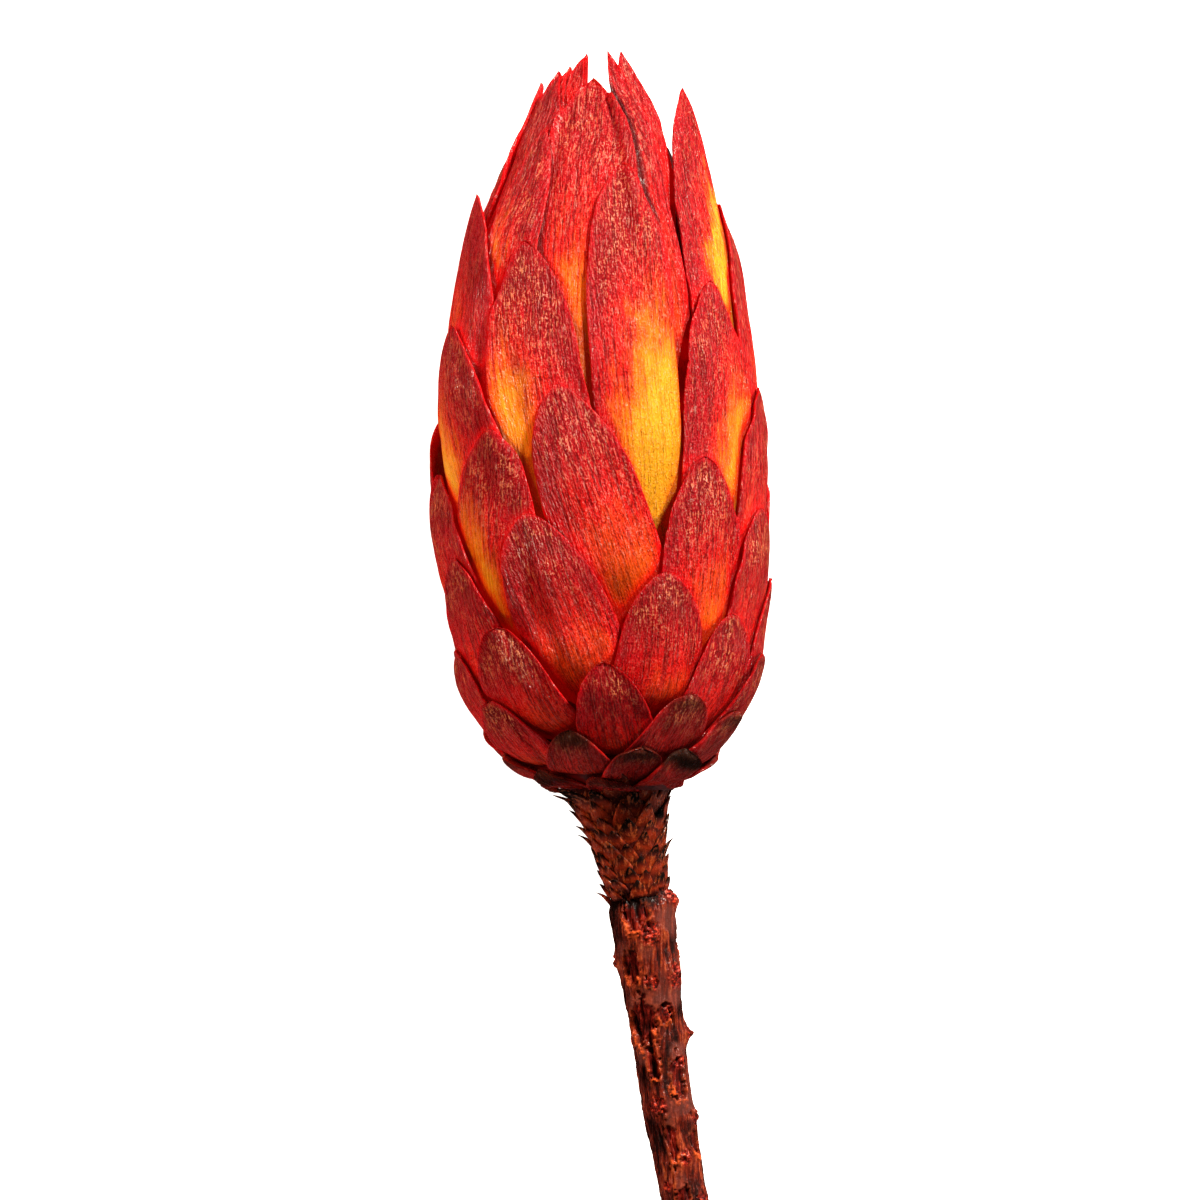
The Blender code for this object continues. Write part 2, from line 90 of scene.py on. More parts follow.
# How single bracts, those that face up and some round the sides, stand off the rule: turn in
# degrees, rise in mm, lean of the tip in degrees, flare of the tip in mm, and width as a share
# of the rule's.
SEEN = {
    -21: (3, 0.0, 0, 0.1, 1), -20: (24, -1.8, 0, 0.0, 0.8), -18: (0, 1.5, 0, 0.1, 1),
    -16: (-10, 0.2, 0, 0.1, 1), -13: (6, 0.0, 0, 0.1, 1), -10: (0, 1.6, 0, 0.2, 1),
    -8: (3, -0.4, 0, 0.1, 1), -5: (3, -0.4, 4, 0.2, 1), -3: (1, 0.0, 0, 0.1, 1),
    -2: (-9, 1.2, 0, 0.3, 1), 0: (0, -0.3, -9, 0.4, 0.84), 2: (12, 1.4, 0, 0.2, 1),
    3: (0, -0.3, 3, 0.4, 0.9), 5: (-8, -1.4, -8, 0.3, 0.97), 6: (-18, 0.0, 0, 0.0, 1),
    7: (6, 3.0, 0, 0.3, 1.2), 8: (3, -1.7, 2, 0.6, 0.9), 10: (9, 0.0, 0, 0.3, 0.88),
    11: (-2, 0.0, 0, 0.2, 1), 12: (15, 7.5, 0, 0.3, 1.35), 13: (-10, -1.9, -12, 0.6, 1),
    14: (-10, 6.0, 0, 0.3, 1.35), 15: (28, 1.7, -6, 0.3, 1), 16: (-1, -2.9, 0, 0.6, 0.88),
    18: (11, -0.7, 7, 0.4, 0.94), 19: (-17, -0.2, 2, 1.1, 1), 20: (26, 0.0, 0, 0.3, 1.25),
    21: (-19, -2.5, -16, 0.6, 0.97), 23: (16, 0.8, -15, 2.2, 1.1), 24: (-11.5, -0.8, 0, 0.6, 0.87),
    26: (-4.5, -0.2, -11, 0.8, 0.95), 27: (-32, 0.6, 0, 0.4, 0.95), 28: (41, 0.4, -14, 3.2, 1),
    29: (-19, -1.5, -5, 0.9, 0.90), 31: (20, 0.2, 3, 0.9, 0.8), 32: (-22, 1.0, 0, 3.6, 1),
    33: (15, 0.0, 0, 0.4, 1.2), 34: (-8, 0.3, -4, 1.0, 1.22), 35: (-12, -10.0, 0, 0.0, 1.35),
    36: (4, -0.2, 0, 1.7, 1), 37: (-46, 0.9, -16, 1.5, 0.5), 38: (0, -3.5, 0, 0.0, 1),
    39: (-15, -1.0, -3, 1.4, 1.1), 40: (0, -14.0, 0, 0.0, 1), 42: (3, -0.2, -8, 1.2, 0.82),
    43: (0, -2.0, 0, 0.0, 1), 44: (20, -0.4, 0, 0.4, 1), 45: (0, -14.0, 0, 0.0, 1),
    46: (11, 2.3, 0, 0.9, 0.9), 47: (-17, 0.8, 0, 0.4, 0.9), 48: (0, -12.0, 0, 0.0, 1),
    50: (0, -5.0, 0, 0.0, 1),
}
# How the others scatter about it: turn and lean in degrees, flare in mm. FLARE is the widest
# bract's own flare, in mm.
SCATTER_SEED = 7
SCATTER = np.array([3.5, 4.0, 0.12])
FLARE = 0.45
# A tip stands at least this high, and turns are worked out on at least this radius.
LEAST_TIP, LEAST_RADIUS = 0.6 * MM, 3.0 * MM

# A bract as a thin blade: its thickness, and how its faces and margins depart from the rule.
TIP_THICKNESS, BODY_THICKNESS = 0.40 * MM, 1.0 * MM
THICKENING_LENGTH = 9.0 * MM
RIM = 0.30 * MM            # this far in from the margin the blade is rounded off
COLUMN_STEP, ROW_STEP = 0.46 * MM, 0.52 * MM
INNER_COLUMNS, HIDDEN_ROWS = 9, 9
INNER_LIFT = 0.25 * MM     # an inner face stays this far above the surface the flower lies on

# The pieces that the bracts make, by their first and last numbers.
TIERS = {"base_bracts": (-21, -9), "lower_bracts": (-8, 7), "middle_bracts": (8, 21),
         "upper_bracts": (22, 35), "inner_bracts": (36, 50)}

# How yellow a bract's foot is, how dark and dusty its tip, how burnt, and how strong the
# painted red glow, in colour and emission, that stands for light coming through it next to the
# bract that covers it, by number.
COLOUR_AT = [-26, -12, -6, 0, 8, 13, 18, 21, 23, 26, 28, 29, 32, 34, 38, 50]
GOLD = [0.26, 0.36, 0.46, 0.44, 0.54, 0.50, 0.88, 0.60, 1.0, 1.0, 0.9, 1.0, 2.2, 0.90, 0.50, 0.3]
DUSK = [0.9, 0.9, 0.9, 0.9, 0.8, 0.8, 0.7, 0.6, 0.45, 0.7, 0.2, 0.6, 0.30, 0.5, 0.4, 0.3]
CHAR = [1.0, 1.0, 0.9, 0.1, 0.05, 0.0, 0.0, 0.0, 0.0, 0.0, 0.0, 0.0, 0.0, 0.0, 0.0, 0.0]
PAINTED_GLOW = [0.0, 0.0, 0.0, 0.05, 0.25, 0.45, 0.7, 0.8, 1.0, 0.5, 0.9, 0.5, 1.0, 0.4, 1.0, 0.8]
UNBURNT = {-3, 0}          # low bracts that aren't burnt
COLOUR_SEED = 1000         # a bract's own draw starts from this plus its number

# The tall bract that stands deep behind the ones over it: the gap beside its top is painted dark as
# shade.
DEEP_PAINTED_SHADE = {37}

# Which side of a bract turns yellow first, and how strongly: above 0 the right, below 0 the left.
SLANT = {16: 0.5, 18: -1.6, 21: 0.5, 23: -1.6, 24: 1.8, 26: -1.2, 28: -1.2, 29: 1.1, 31: -2.0,
         32: 1.5, 34: 0.2}

# The core that shows dark through the gaps between the bracts.
CORE_DEPTH, CORE_TOP, CORE_FOOT = 3.8 * MM, 86.0 * MM, 6.0 * MM
CORE_SIDES, CORE_RINGS = 96, 60

# The stem's line: how far down from the neck, how far right of the head's axis, radius.
STEM_LINE = np.array([
    (0.0, 1.6, 7.1), (2.0, 2.0, 6.1), (5.0, 2.6, 5.2), (9.0, 3.3, 4.5), (13.0, 4.0, 4.2),
    (20.0, 5.1, 3.95), (27.0, 6.0, 3.6), (34.0, 6.9, 3.3), (41.0, 7.9, 3.1), (49.0, 9.4, 2.9),
    (58.0, 10.8, 2.85), (69.0, 12.4, 2.8),
]) * MM
CLEARANCE, COLLAR_END = 0.3 * MM, 13.2 * MM    # the bark starts this far below the collar's end
STEM_END = STEM_LINE[-1, 0]
STEM_SIDES, STEM_RINGS = 150, 460
CUT_RINGS = np.array([0.93, 0.84, 0.7, 0.5, 0.32, 0.2, 0.1])    # shares of the cut end's radius
COLLAR_SIDES, COLLAR_RINGS = 120, 70

# Marks on the bark: distance down in mm, turn in degrees, then sizes in mm. A scar is a raised
# cushion of raw crumbs. A window is a patch where the bark has come off the fibres under it.
SCARS = [
    (14.6, 72, 1.5, 1.3), (18.6, 8, 1.7, 0.5), (24.3, 52, 1.7, 0.6), (24.9, -2, 1.1, 0.3),
    (32.0, 86, 1.2, 1.0), (22.0, -88, 0.6, 0.4), (35.4, 46, 0.9, 0.3), (40.6, -22, 1.4, 0.5),
    (42.8, 76, 1.3, 0.6), (47.5, 20, 1.1, 0.3), (36.0, -86, 0.6, 0.4), (51.0, -40, 0.9, 0.4),
    (53.5, 50, 1.2, 0.5), (57.0, -20, 1.1, 0.4), (62.5, 30, 1.1, 0.5), (28.7, 28, 1.0, 0.3),
]
WINDOWS = [
    (15.9, -14, 1.9, 2.6), (22.6, -36, 1.3, 2.5), (29.6, -30, 1.9, 3.8), (29.0, 22, 1.1, 1.5),
    (37.6, 34, 1.3, 3.0), (35.0, -20, 0.9, 2.6), (45.5, -6, 0.8, 3.2), (46.0, 60, 0.8, 2.4),
    (53.0, -5, 1.2, 2.2), (60.0, -55, 1.2, 2.6), (20.0, 110, 1.8, 2.6), (27.5, 170, 1.8, 2.8),
    (30.0, -120, 1.6, 2.4), (41.0, 140, 1.4, 2.6), (47.0, -150, 1.4, 2.4), (56.0, 120, 1.3, 2.4),
    (63.5, 180, 1.2, 2.0),
]
HIDDEN_SCAR_SPACING, HIDDEN_SCAR_SIZE, HIDDEN_SCAR_HEIGHT = 4.2 * MM, 1.4 * MM, 0.5 * MM

# The scale leaves that sheathe the collar: how many, from where to where down it, and their size.
SCALES = 96
SCALE_FIRST, SCALE_LAST = -2.6 * MM, 12.4 * MM
SCALE_LENGTH, SCALE_HALF_WIDTH, SCALE_THICKNESS = 3.9 * MM, 2.7 * MM, 0.38 * MM
SCALE_STAND = 0.9 * MM
SUNK_END = 2.0 * MM        # collar and bark sink away over this length at their joint
COLLAR_SINK, BARK_SINK = 0.9 * MM, 0.6 * MM
SPIKY, SPIKY_FROM = 0.14, 1.5 * MM    # the share that stand off in a spike, and from where down


def smooth_line(knots, samples=8):
    """A smooth curve through the knots, which runs at each one as a line between its two
    neighbours would, with the same number of points in each span."""
    ends = np.vstack([2 * knots[0] - knots[1], knots, 2 * knots[-1] - knots[-2]])
    f = np.linspace(0, 1, samples, endpoint=False)[:, None]
    spans = [
        0.5 * (2 * b + (c - a) * f + (2 * a - 5 * b + 4 * c - d) * f**2
               + (3 * b - a - 3 * c + d) * f**3)
        for a, b, c, d in zip(ends, ends[1:], ends[2:], ends[3:])
    ]
    return np.vstack(spans + [knots[-1:]])


def rise_between(value, low, high):
    """0 below low, 1 above high, and a smooth step between them."""
    share = np.clip((value - low) / (high - low), 0, 1)
    return share * share * (3 - 2 * share)


def noise(points, seed):
    """Smooth noise from -1 to 1: each corner of the unit lattice has a value of its own, and a
    point takes the mix of the eight corners of its cell, by smoothed shares."""
    rng = np.random.default_rng(seed)
    order, level = rng.permutation(256), rng.uniform(-1, 1, 256)
    cell = np.floor(points).astype(np.int64)
    share = points - cell
    share = share * share * (3 - 2 * share)
    total = np.zeros(points.shape[:-1])
    for corner in itertools.product((0, 1), repeat=3):
        x, y, z = np.moveaxis((cell + corner) & 255, -1, 0)
        value = level[order[(order[(order[x] + y) & 255] + z) & 255]]
        total += value * np.prod(np.where(corner, share, 1 - share), axis=-1)
    return total


def rough(x, y, z, seed, *cells):
    """Noise over three coordinates, with the cell's size along each of them."""
    x, y, z = np.broadcast_arrays(x, y, z)
    return noise(np.stack([x, y, z], axis=-1) / np.array(cells), seed)


def lay_down(points):
    """From the flower's own frame to the surface it lies on: its nose dips, and the neck goes to
    its place."""
    x, y, z = np.moveaxis(points, -1, 0)
    cos, sin = math.cos(NOSE_DIP), math.sin(NOSE_DIP)
    return np.stack([x, y * cos + z * sin, z * cos - y * sin], axis=-1) + NECK_AT


def closed_tube(rings):
    """A tube of rings, which close on themselves, with a point in the middle of each end:
    (points, quads, triples)."""
    rows, sides = rings.shape[:2]
    points = np.concatenate([
        rings.reshape(-1, 3), rings[0].mean(axis=0)[None], rings[-1].mean(axis=0)[None]])
    ring = np.arange(sides)
    after = (ring + 1) % sides
    row = np.arange(rows - 1)[:, None] * sides
    a, b = row + ring, row + after
    quads = np.stack([a, a + sides, b + sides, b], axis=-1).reshape(-1, 4)
    first, last = rows * sides, rows * sides + 1
    base = (rows - 1) * sides
    triples = np.concatenate([
        np.stack([np.full(sides, first), ring, after], axis=-1),
        np.stack([np.full(sides, last), base + after, base + ring], axis=-1)])
    return points, quads, triples


class Piece:
    """Gathers closed tubes, each with its values at every point, into one mesh."""

    def __init__(self, name):
        self.name, self.count = name, 0
        self.points, self.quads, self.triples, self.values = [], [], [], []

    def add(self, rings, **values):
        """values are arrays over the rings' points; each end point takes the mean of its ring."""
        points, quads, triples = closed_tube(rings)
        self.points.append(points)
        self.quads.append(quads + self.count)
        self.triples.append(triples + self.count)
        self.count += len(points)
        by_point = {}
        for key, value in values.items():
            value = np.broadcast_to(value, rings.shape[:2])
            by_point[key] = np.concatenate(
                [value.ravel(), [value[0].mean(), value[-1].mean()]]).astype(np.float32)
        self.values.append(by_point)

    def make(self, material, slot, *nodes):
        """The mesh object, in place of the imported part's nodes."""
        mesh = bpy.data.meshes.new(self.name)
        points = np.concatenate(self.points).astype(np.float32)
        quads, triples = np.concatenate(self.quads), np.concatenate(self.triples)
        corners = np.concatenate([quads.ravel(), triples.ravel()]).astype(np.int32)
        starts = np.concatenate([
            4 * np.arange(len(quads)), 4 * len(quads) + 3 * np.arange(len(triples))])
        mesh.vertices.add(len(points))
        mesh.vertices.foreach_set("co", points.ravel())
        mesh.loops.add(len(corners))
        mesh.loops.foreach_set("vertex_index", corners)
        mesh.polygons.add(len(starts))
        mesh.polygons.foreach_set("loop_start", starts.astype(np.int32))
        mesh.update(calc_edges=True)
        for key in self.values[0]:
            layer = mesh.attributes.new(key, "FLOAT", "POINT")
            layer.data.foreach_set("value", np.concatenate([v[key] for v in self.values]))
        mesh.shade_smooth()
        mesh.materials.append(material)
        mesh.validate()
        obj = bpy.data.objects.new(self.name, mesh)
        bpy.context.scene.collection.objects.link(obj)
        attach(obj, "root")
        if nodes:
            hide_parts(*nodes)
        return obj


class Skin:
    """The head's smooth skin, read by the distance run along its profile from the neck."""

    def __init__(self, profile):
        self.height, self.radius = smooth_line(profile).T
        steps = np.hypot(np.diff(self.height), np.diff(self.radius))
        self.run = np.concatenate([[0.0], np.cumsum(steps)])
        slope_height = np.gradient(self.height, self.run)
        slope_radius = np.gradient(self.radius, self.run)
        length = np.hypot(slope_height, slope_radius)
        self.out_radius = slope_height / length
        self.out_height = -slope_radius / length

    def run_at(self, height):
        return np.interp(height, self.height, self.run)

    def at(self, run, depth):
        """Height and radius of the point this far under the skin, square to it."""
        out_height = np.interp(run, self.run, self.out_height)
        out_radius = np.interp(run, self.run, self.out_radius)
        height = np.interp(run, self.run, self.height) - out_height * depth
        radius = np.interp(run, self.run, self.radius) - out_radius * depth
        return height, radius


def read_grid(field, row, column):
    """Reads a grid, which closes on itself across its columns, between its points."""
    row = np.clip(row, 0, len(field) - 1.001)
    low, left = np.floor(row).astype(int), np.floor(column).astype(int)
    up_share, right_share = row - low, column - left
    left, right = left % field.shape[1], (left + 1) % field.shape[1]
    lower = field[low, left] * (1 - right_share) + field[low, right] * right_share
    upper = field[low + 1, left] * (1 - right_share) + field[low + 1, right] * right_share
    return lower * (1 - up_share) + upper * up_share


def spread(field, reach, *gathers):
    """Gathers the values within reach of each point, along the rows and then the columns, once
    for each way to gather them."""
    for gather in gathers:
        for axis, mode in ((0, "edge"), (1, "wrap")):
            margin = [(0, 0), (0, 0)]
            margin[axis] = (reach, reach)
            wide = np.pad(field, margin, mode)
            windows = np.lib.stride_tricks.sliding_window_view(wide, 2 * reach + 1, axis)
            field = gather(windows, axis=-1)
    return field


def softly_above(height, floor):
    """The higher of the two, with a smooth change from one to the other."""
    return (height + floor + np.sqrt((height - floor) ** 2 + SOFTNESS**2)) / 2


class Pile:
    """How high over the skin the bracts laid so far reach, on a grid of runs and turns."""

    def __init__(self, skin):
        self.turns = np.linspace(-math.pi, math.pi, PILE_TURNS, endpoint=False)
        self.runs = np.arange(0.0, skin.run[-1] + PILE_STEP, PILE_STEP)
        self.top = np.full((len(self.runs), PILE_TURNS), -CORE_DEPTH)
        self.owner = np.full(self.top.shape, LAST_BRACT + 1)

    def near(self, bract):
        """The rows that a bract lies over."""
        return (self.runs < bract.tip + MM) & (self.runs > bract.tip - bract.length - MM)

    def lay(self, bract):
        """Lays a bract on those under it. The bract keeps what it rests on."""
        near = self.near(bract)
        down = np.clip(bract.tip - self.runs[near, None], 0, bract.length)
        turn = (self.turns - bract.turn + math.pi) % (2 * math.pi) - math.pi
        side = bract.side_at(down, turn)
        across = side / np.maximum(bract.width_at(down, side), 1e-6)
        bract.rest = spread(self.top[near], PILE_REACH, np.max, np.mean)
        bract.rest_from = self.runs[near][0]
        face = bract.face(across, side, down, bract.rest)
        over = (np.abs(across) < 1) & (down > 0) & (down < bract.length)
        self.top[near] = np.where(over, np.maximum(self.top[near], face), self.top[near])
        self.owner[near] = np.where(over, bract.number, self.owner[near])

    def cover(self, bract):
        """How much of what is round each point is under later bracts."""
        under = (self.owner[self.near(bract)] < bract.number).astype(float)
        bract.cover = spread(under, COVER_REACH, np.mean, np.mean)


def around_axis(height, radius, turn):
    """Points round the head's axis, which bends over to the neck near its foot."""
    height, radius, turn = np.broadcast_arrays(height, radius, turn)
    bend = NECK_LEAN * np.clip(1 - height / NECK_LEAN_HEIGHT, 0, None) ** 2
    bend = bend - BOW * np.sin(np.pi * np.clip((height - BOW_FROM) / (BOW_TO - BOW_FROM), 0, 1))
    return np.stack([bend + radius * np.sin(turn), height, radius * np.cos(turn)], axis=-1)


def number_at(height):
    """Which number's tip the rule puts at this height."""
    return np.interp(height, TIP_HEIGHT[:-1], GROWTH_AT[:-1])


def layer_depth(number):
    """How far under the first bract's layer this number's layer lies."""
    numbers = np.arange(FIRST_BRACT, LAST_BRACT + 1)
    steps = LAYER_SHARE * np.interp(numbers, GROWTH_AT, HALF_WIDTH)
    return np.interp(number, numbers, np.cumsum(steps))


class Bract:
    """One bract: its number sets its turn, height and size, and its layer in the head."""

    scatter = np.random.default_rng(SCATTER_SEED).normal(size=(LAST_BRACT - FIRST_BRACT + 1, 3))

    def __init__(self, number, skin):
        self.number, self.skin = number, skin
        self.half_width = np.interp(number, GROWTH_AT, HALF_WIDTH)
        turn, lean, flare = SCATTER * self.scatter[number - FIRST_BRACT]
        rise, width, flare = 0.0, 1.0, flare + FLARE * self.half_width / HALF_WIDTH.max()
        if number in SEEN:
            turn, rise, lean, flare, width = SEEN[number]
        self.half_width *= width
        self.turn = SPIRAL_START + GOLDEN_ANGLE * number + math.radians(turn)
        self.lean, self.flare = math.radians(lean), max(0.0, flare * MM)
        height = np.interp(number, GROWTH_AT, TIP_HEIGHT) + rise * MM
        _, radius = skin.at(skin.run_at(height), 0.0)
        height = min(height + SPIRAL_TILT * radius * math.sin(self.turn), HEAD_HEIGHT)
        self.tip = skin.run_at(max(height, LEAST_TIP))
        self.taper = np.interp(number, GROWTH_AT, TIP_TAPER)
        foot = skin.run_at(np.interp(number - HIDDEN_STEPS, GROWTH_AT, TIP_HEIGHT)) - HIDDEN_LENGTH
        self.length = self.tip - max(foot, 0.0)
        bare = skin.run_at(np.interp(number - BARE_STEPS, GROWTH_AT, TIP_HEIGHT))
        self.bare = min(max(self.tip - bare, 5 * MM), self.length)
        self.blunt = np.interp(number, [-10, 8, 24, 34], [1.1, 0.8, 0.35, 0.2]) * MM

    def wander(self, across, down, cell_across, cell_down, seed):
        """Noise over this bract's face, different for each number."""
        return rough(across, down, self.number * 7.3, seed, cell_across, cell_down, 1.0)

    def width_at(self, down, side):
        """Half width at a distance down, on the side that side's sign gives: the rule's, with a
        round tip and a margin that wanders and is nicked a little."""
        reach = np.sqrt(down**2 + 2 * down * self.blunt)
        width = self.half_width * (1 - np.exp(-reach / self.taper))
        uneven = []
        for margin in (-9.0, 9.0):
            wave = 0.020 * self.wander(margin, down, 1.0, 3.4 * MM, 11)
            nick = self.wander(margin, down, 1.0, 0.9 * MM, 12)
            cut = 0.05 * rise_between(nick, 0.55, 0.9) * rise_between(down, 0, 2 * MM)
            uneven.append(1 + wave + (0.016 * nick - cut) * np.exp(-down / (16 * MM)))
        return width * np.where(side < 0, *uneven)

    def side_at(self, down, turn):
        """Distance to the side of the midline, for a turn round the head from the tip."""
        _, radius = self.skin.at(np.clip(self.tip - down, 0, None), 0.0)
        return turn * np.maximum(radius, LEAST_RADIUS) + down * math.tan(self.lean)

    def relief(self, across, side, down):
        """How far the outer face stands off the rule: ribs that run down the blade, slow
        swells, and margins that roll a little out."""
        rib = self.wander(side, down, 0.85 * MM, 16 * MM, 21)
        rib2 = self.wander(side, down, 0.5 * MM, 6 * MM, 22)
        swell = self.wander(side, down, 4.2 * MM, 7 * MM, 23)
        dent = self.wander(side, down, 1.6 * MM, 2.6 * MM, 24)
        fold = np.abs(self.wander(side, down, 3.0 * MM, 22 * MM, 26))
        roll = self.wander(np.sign(across) * 9, down, 1.0, 6 * MM, 25)
        fade = rise_between(down, 0, 3 * MM)
        relief = fade * (0.055 * rib + 0.03 * rib2 + 0.20 * swell + 0.06 * dent - 0.45 * fold)
        relief = relief * (1 - across**6)
        return (relief + (0.12 + 0.5 * np.clip(roll, 0, 1)) * across**6) * MM

    def thickness(self, across, down):
        """Thin at the tip, the margins and the hidden foot, thicker down the middle."""
        tip = TIP_THICKNESS * np.interp(self.number, [-20, 0], [2.2, 1.0])
        grown = tip + (BODY_THICKNESS - TIP_THICKNESS) * (1 - np.exp(-down / THICKENING_LENGTH))
        grown = grown * (1 - 0.8 * rise_between(down / self.length, 0.45, 0.95))
        return grown * (1 - 0.45 * across**2) * np.sqrt(rise_between(down, 0, 0.5 * MM))

    def face(self, across, side, down, rest):
        """How high over the skin the outer face stands. By itself it lies in the layer that its
        number gives at that height, its bare part nearer the skin, and arches across and in at
        the tip. It is nowhere under what it rests on."""
        run = np.clip(self.tip - down, 0, None)
        skin_height, skin_radius = self.skin.at(run, 0.0)
        level = skin_height - SPIRAL_TILT * skin_radius * math.sin(self.turn)
        layer = layer_depth(self.number) - layer_depth(number_at(level))
        layer = layer * (1 - BELLY * rise_between(-down / self.bare, -1.35, -0.85))
        tuck = (TUCK * self.half_width / HALF_WIDTH.max() - self.flare) * np.clip(
            1 - down / (TUCK_SHARE * self.bare), 0, 1) ** 2
        own = BODY_RISE - layer - tuck - CROWN * side**2 / 2
        return softly_above(own, rest + self.thickness(across, down) + BLADE_GAP)

    def surface(self, across, down, inner):
        """Points of the outer face, or of the inner one where inner is 1, with the distance to
        the side and from the margin, and the cover. Within RIM of the margin both faces close
        to a half round."""
        run = np.clip(self.tip - down, 0, None)
        width = self.width_at(down, across)
        side = across * width
        margin = width - np.abs(side)
        _, skin_radius = self.skin.at(run, 0.0)
        sideways = side - down * math.tan(self.lean)
        turn = self.turn + sideways / np.maximum(skin_radius, LEAST_RADIUS)
        column = (turn + math.pi) / (2 * math.pi) * PILE_TURNS
        row = np.broadcast_to((run - self.rest_from) / PILE_STEP, column.shape)
        rest, cover = read_grid(self.rest, row, column), read_grid(self.cover, row, column)
        thickness = self.thickness(across, down)
        rim = np.sqrt(1 - np.clip(1 - margin / RIM, 0, 1) ** 2)
        under = thickness / 2 * (1 + np.where(inner, 1, -1) * rim)
        rise = self.face(across, side, down, rest)
        rise = rise + self.relief(across, side, down) * np.clip(1 - 1.8 * cover, 0, 1)
        height, radius = self.skin.at(run, under - rise)
        return around_axis(height, radius, turn), side, margin, cover

    def rings(self):
        """The blade's rings from tip to foot, each across the outer face and back across the
        inner one, with the across and down values of their points."""
        columns = max(9, int(2 * self.half_width / COLUMN_STEP))
        rim = min(0.3, RIM / self.half_width)
        outer = np.concatenate([
            [-1, -1 + 0.35 * rim], np.linspace(-1 + rim, 1 - rim, columns), [1 - 0.35 * rim]])
        inner = np.concatenate([
            [1, 1 - 0.5 * rim], np.linspace(1 - 2 * rim, -1 + 2 * rim, INNER_COLUMNS),
            [-1 + 0.5 * rim]])
        rows = max(8, int(self.bare / ROW_STEP))
        near = self.bare * (np.arange(1, rows + 1) / rows) ** 1.15
        far = np.linspace(self.bare, self.length, HIDDEN_ROWS + 1)[1:]
        down = np.concatenate([np.array([0.02, 0.08]) * near[0], near, far])[:, None]
        across = np.concatenate([outer, inner])[None, :]
        is_inner = (np.arange(len(outer) + len(inner)) >= len(outer))[None, :]
        return across, down, is_inner


def press(points, inner):
    """Keeps the flower on the surface it lies on: an outer face is pressed flat there, and an
    inner one stays a little above it."""
    points[..., 2] = np.maximum(points[..., 2], np.where(inner, INNER_LIFT, 0.0))
    return points


def add_bract(piece, bract):
    """A bract's rings, with the values that its finish reads."""
    across, down, inner = bract.rings()
    points, side, margin, cover = bract.surface(across, down, inner)
    rng = np.random.default_rng(COLOUR_SEED + bract.number)
    # The glow and deep values carry the painted red glow and the painted gap shade to the finish.
    piece.add(
        press(lay_down(points), inner),
        side_mm=side / MM, down_mm=down / MM, margin_mm=margin / MM,
        ripe=down / bract.bare, inner=inner.astype(float),
        gold=np.interp(bract.number, COLOUR_AT, GOLD) + rng.uniform(-0.06, 0.06),
        dusk=np.interp(bract.number, COLOUR_AT, DUSK) + rng.uniform(-0.15, 0.15),
        char=np.interp(bract.number, COLOUR_AT, CHAR) * rng.uniform(0.6, 1.0)
        * (bract.number not in UNBURNT),
        cover=cover, deep=1.0 * (bract.number in DEEP_PAINTED_SHADE),
        glow=np.interp(bract.number, COLOUR_AT, PAINTED_GLOW),
        chance=rng.uniform(), slant=SLANT.get(bract.number, rng.uniform(-0.6, 0.6)))


def stem_frame(down):
    """Centre of the stem, its radius, and its two directions across, at a distance down."""
    line = smooth_line(STEM_LINE)
    x = np.interp(down, line[:, 0], line[:, 1])
    radius = np.interp(down, line[:, 0], line[:, 2])
    slope = np.interp(down, line[:, 0], np.gradient(line[:, 1], line[:, 0]))
    centre = np.stack([x, -down, np.zeros_like(down)], axis=-1)
    across = np.stack([np.ones_like(down), slope, np.zeros_like(down)], axis=-1)
    across /= np.linalg.norm(across, axis=-1, keepdims=True)
    return centre, radius, across, np.array([0.0, 0.0, 1.0])


def round_stem(down, turn, height):
    """Points at a turn round the stem, this high above its mean surface."""
    centre, radius, across, up = stem_frame(down)
    down, turn, radius, height = np.broadcast_arrays(down, turn, radius, height)
    out = (radius + height)[..., None]
    return centre + out * (np.sin(turn)[..., None] * across + np.cos(turn)[..., None] * up)


def all_scars():
    """The scars that are seen, and more by the golden angle on the side that lies down."""
    scars = [(down * MM, math.radians(turn), size * MM, height * MM)
             for down, turn, size, height in SCARS]
    turn, down = math.radians(120), 17.5 * MM
    while down < STEM_END - 4 * MM:
        if math.cos(turn) < -0.1:
            scars.append((down, turn, HIDDEN_SCAR_SIZE, HIDDEN_SCAR_HEIGHT))
        down, turn = down + HIDDEN_SCAR_SPACING, turn + GOLDEN_ANGLE
    return scars


def lumps(x, y, down, seed, across, along):
    """Noise drawn out along the stem. Its cells' two sizes are in mm."""
    return rough(x, y, down, seed, across * MM, across * MM, along * MM)


def ridges(x, y, down, seed, across, along):
    """The same, folded: 1 on its crests, below 0 between them."""
    return 1 - 2 * np.abs(lumps(x, y, down, seed, across, along))


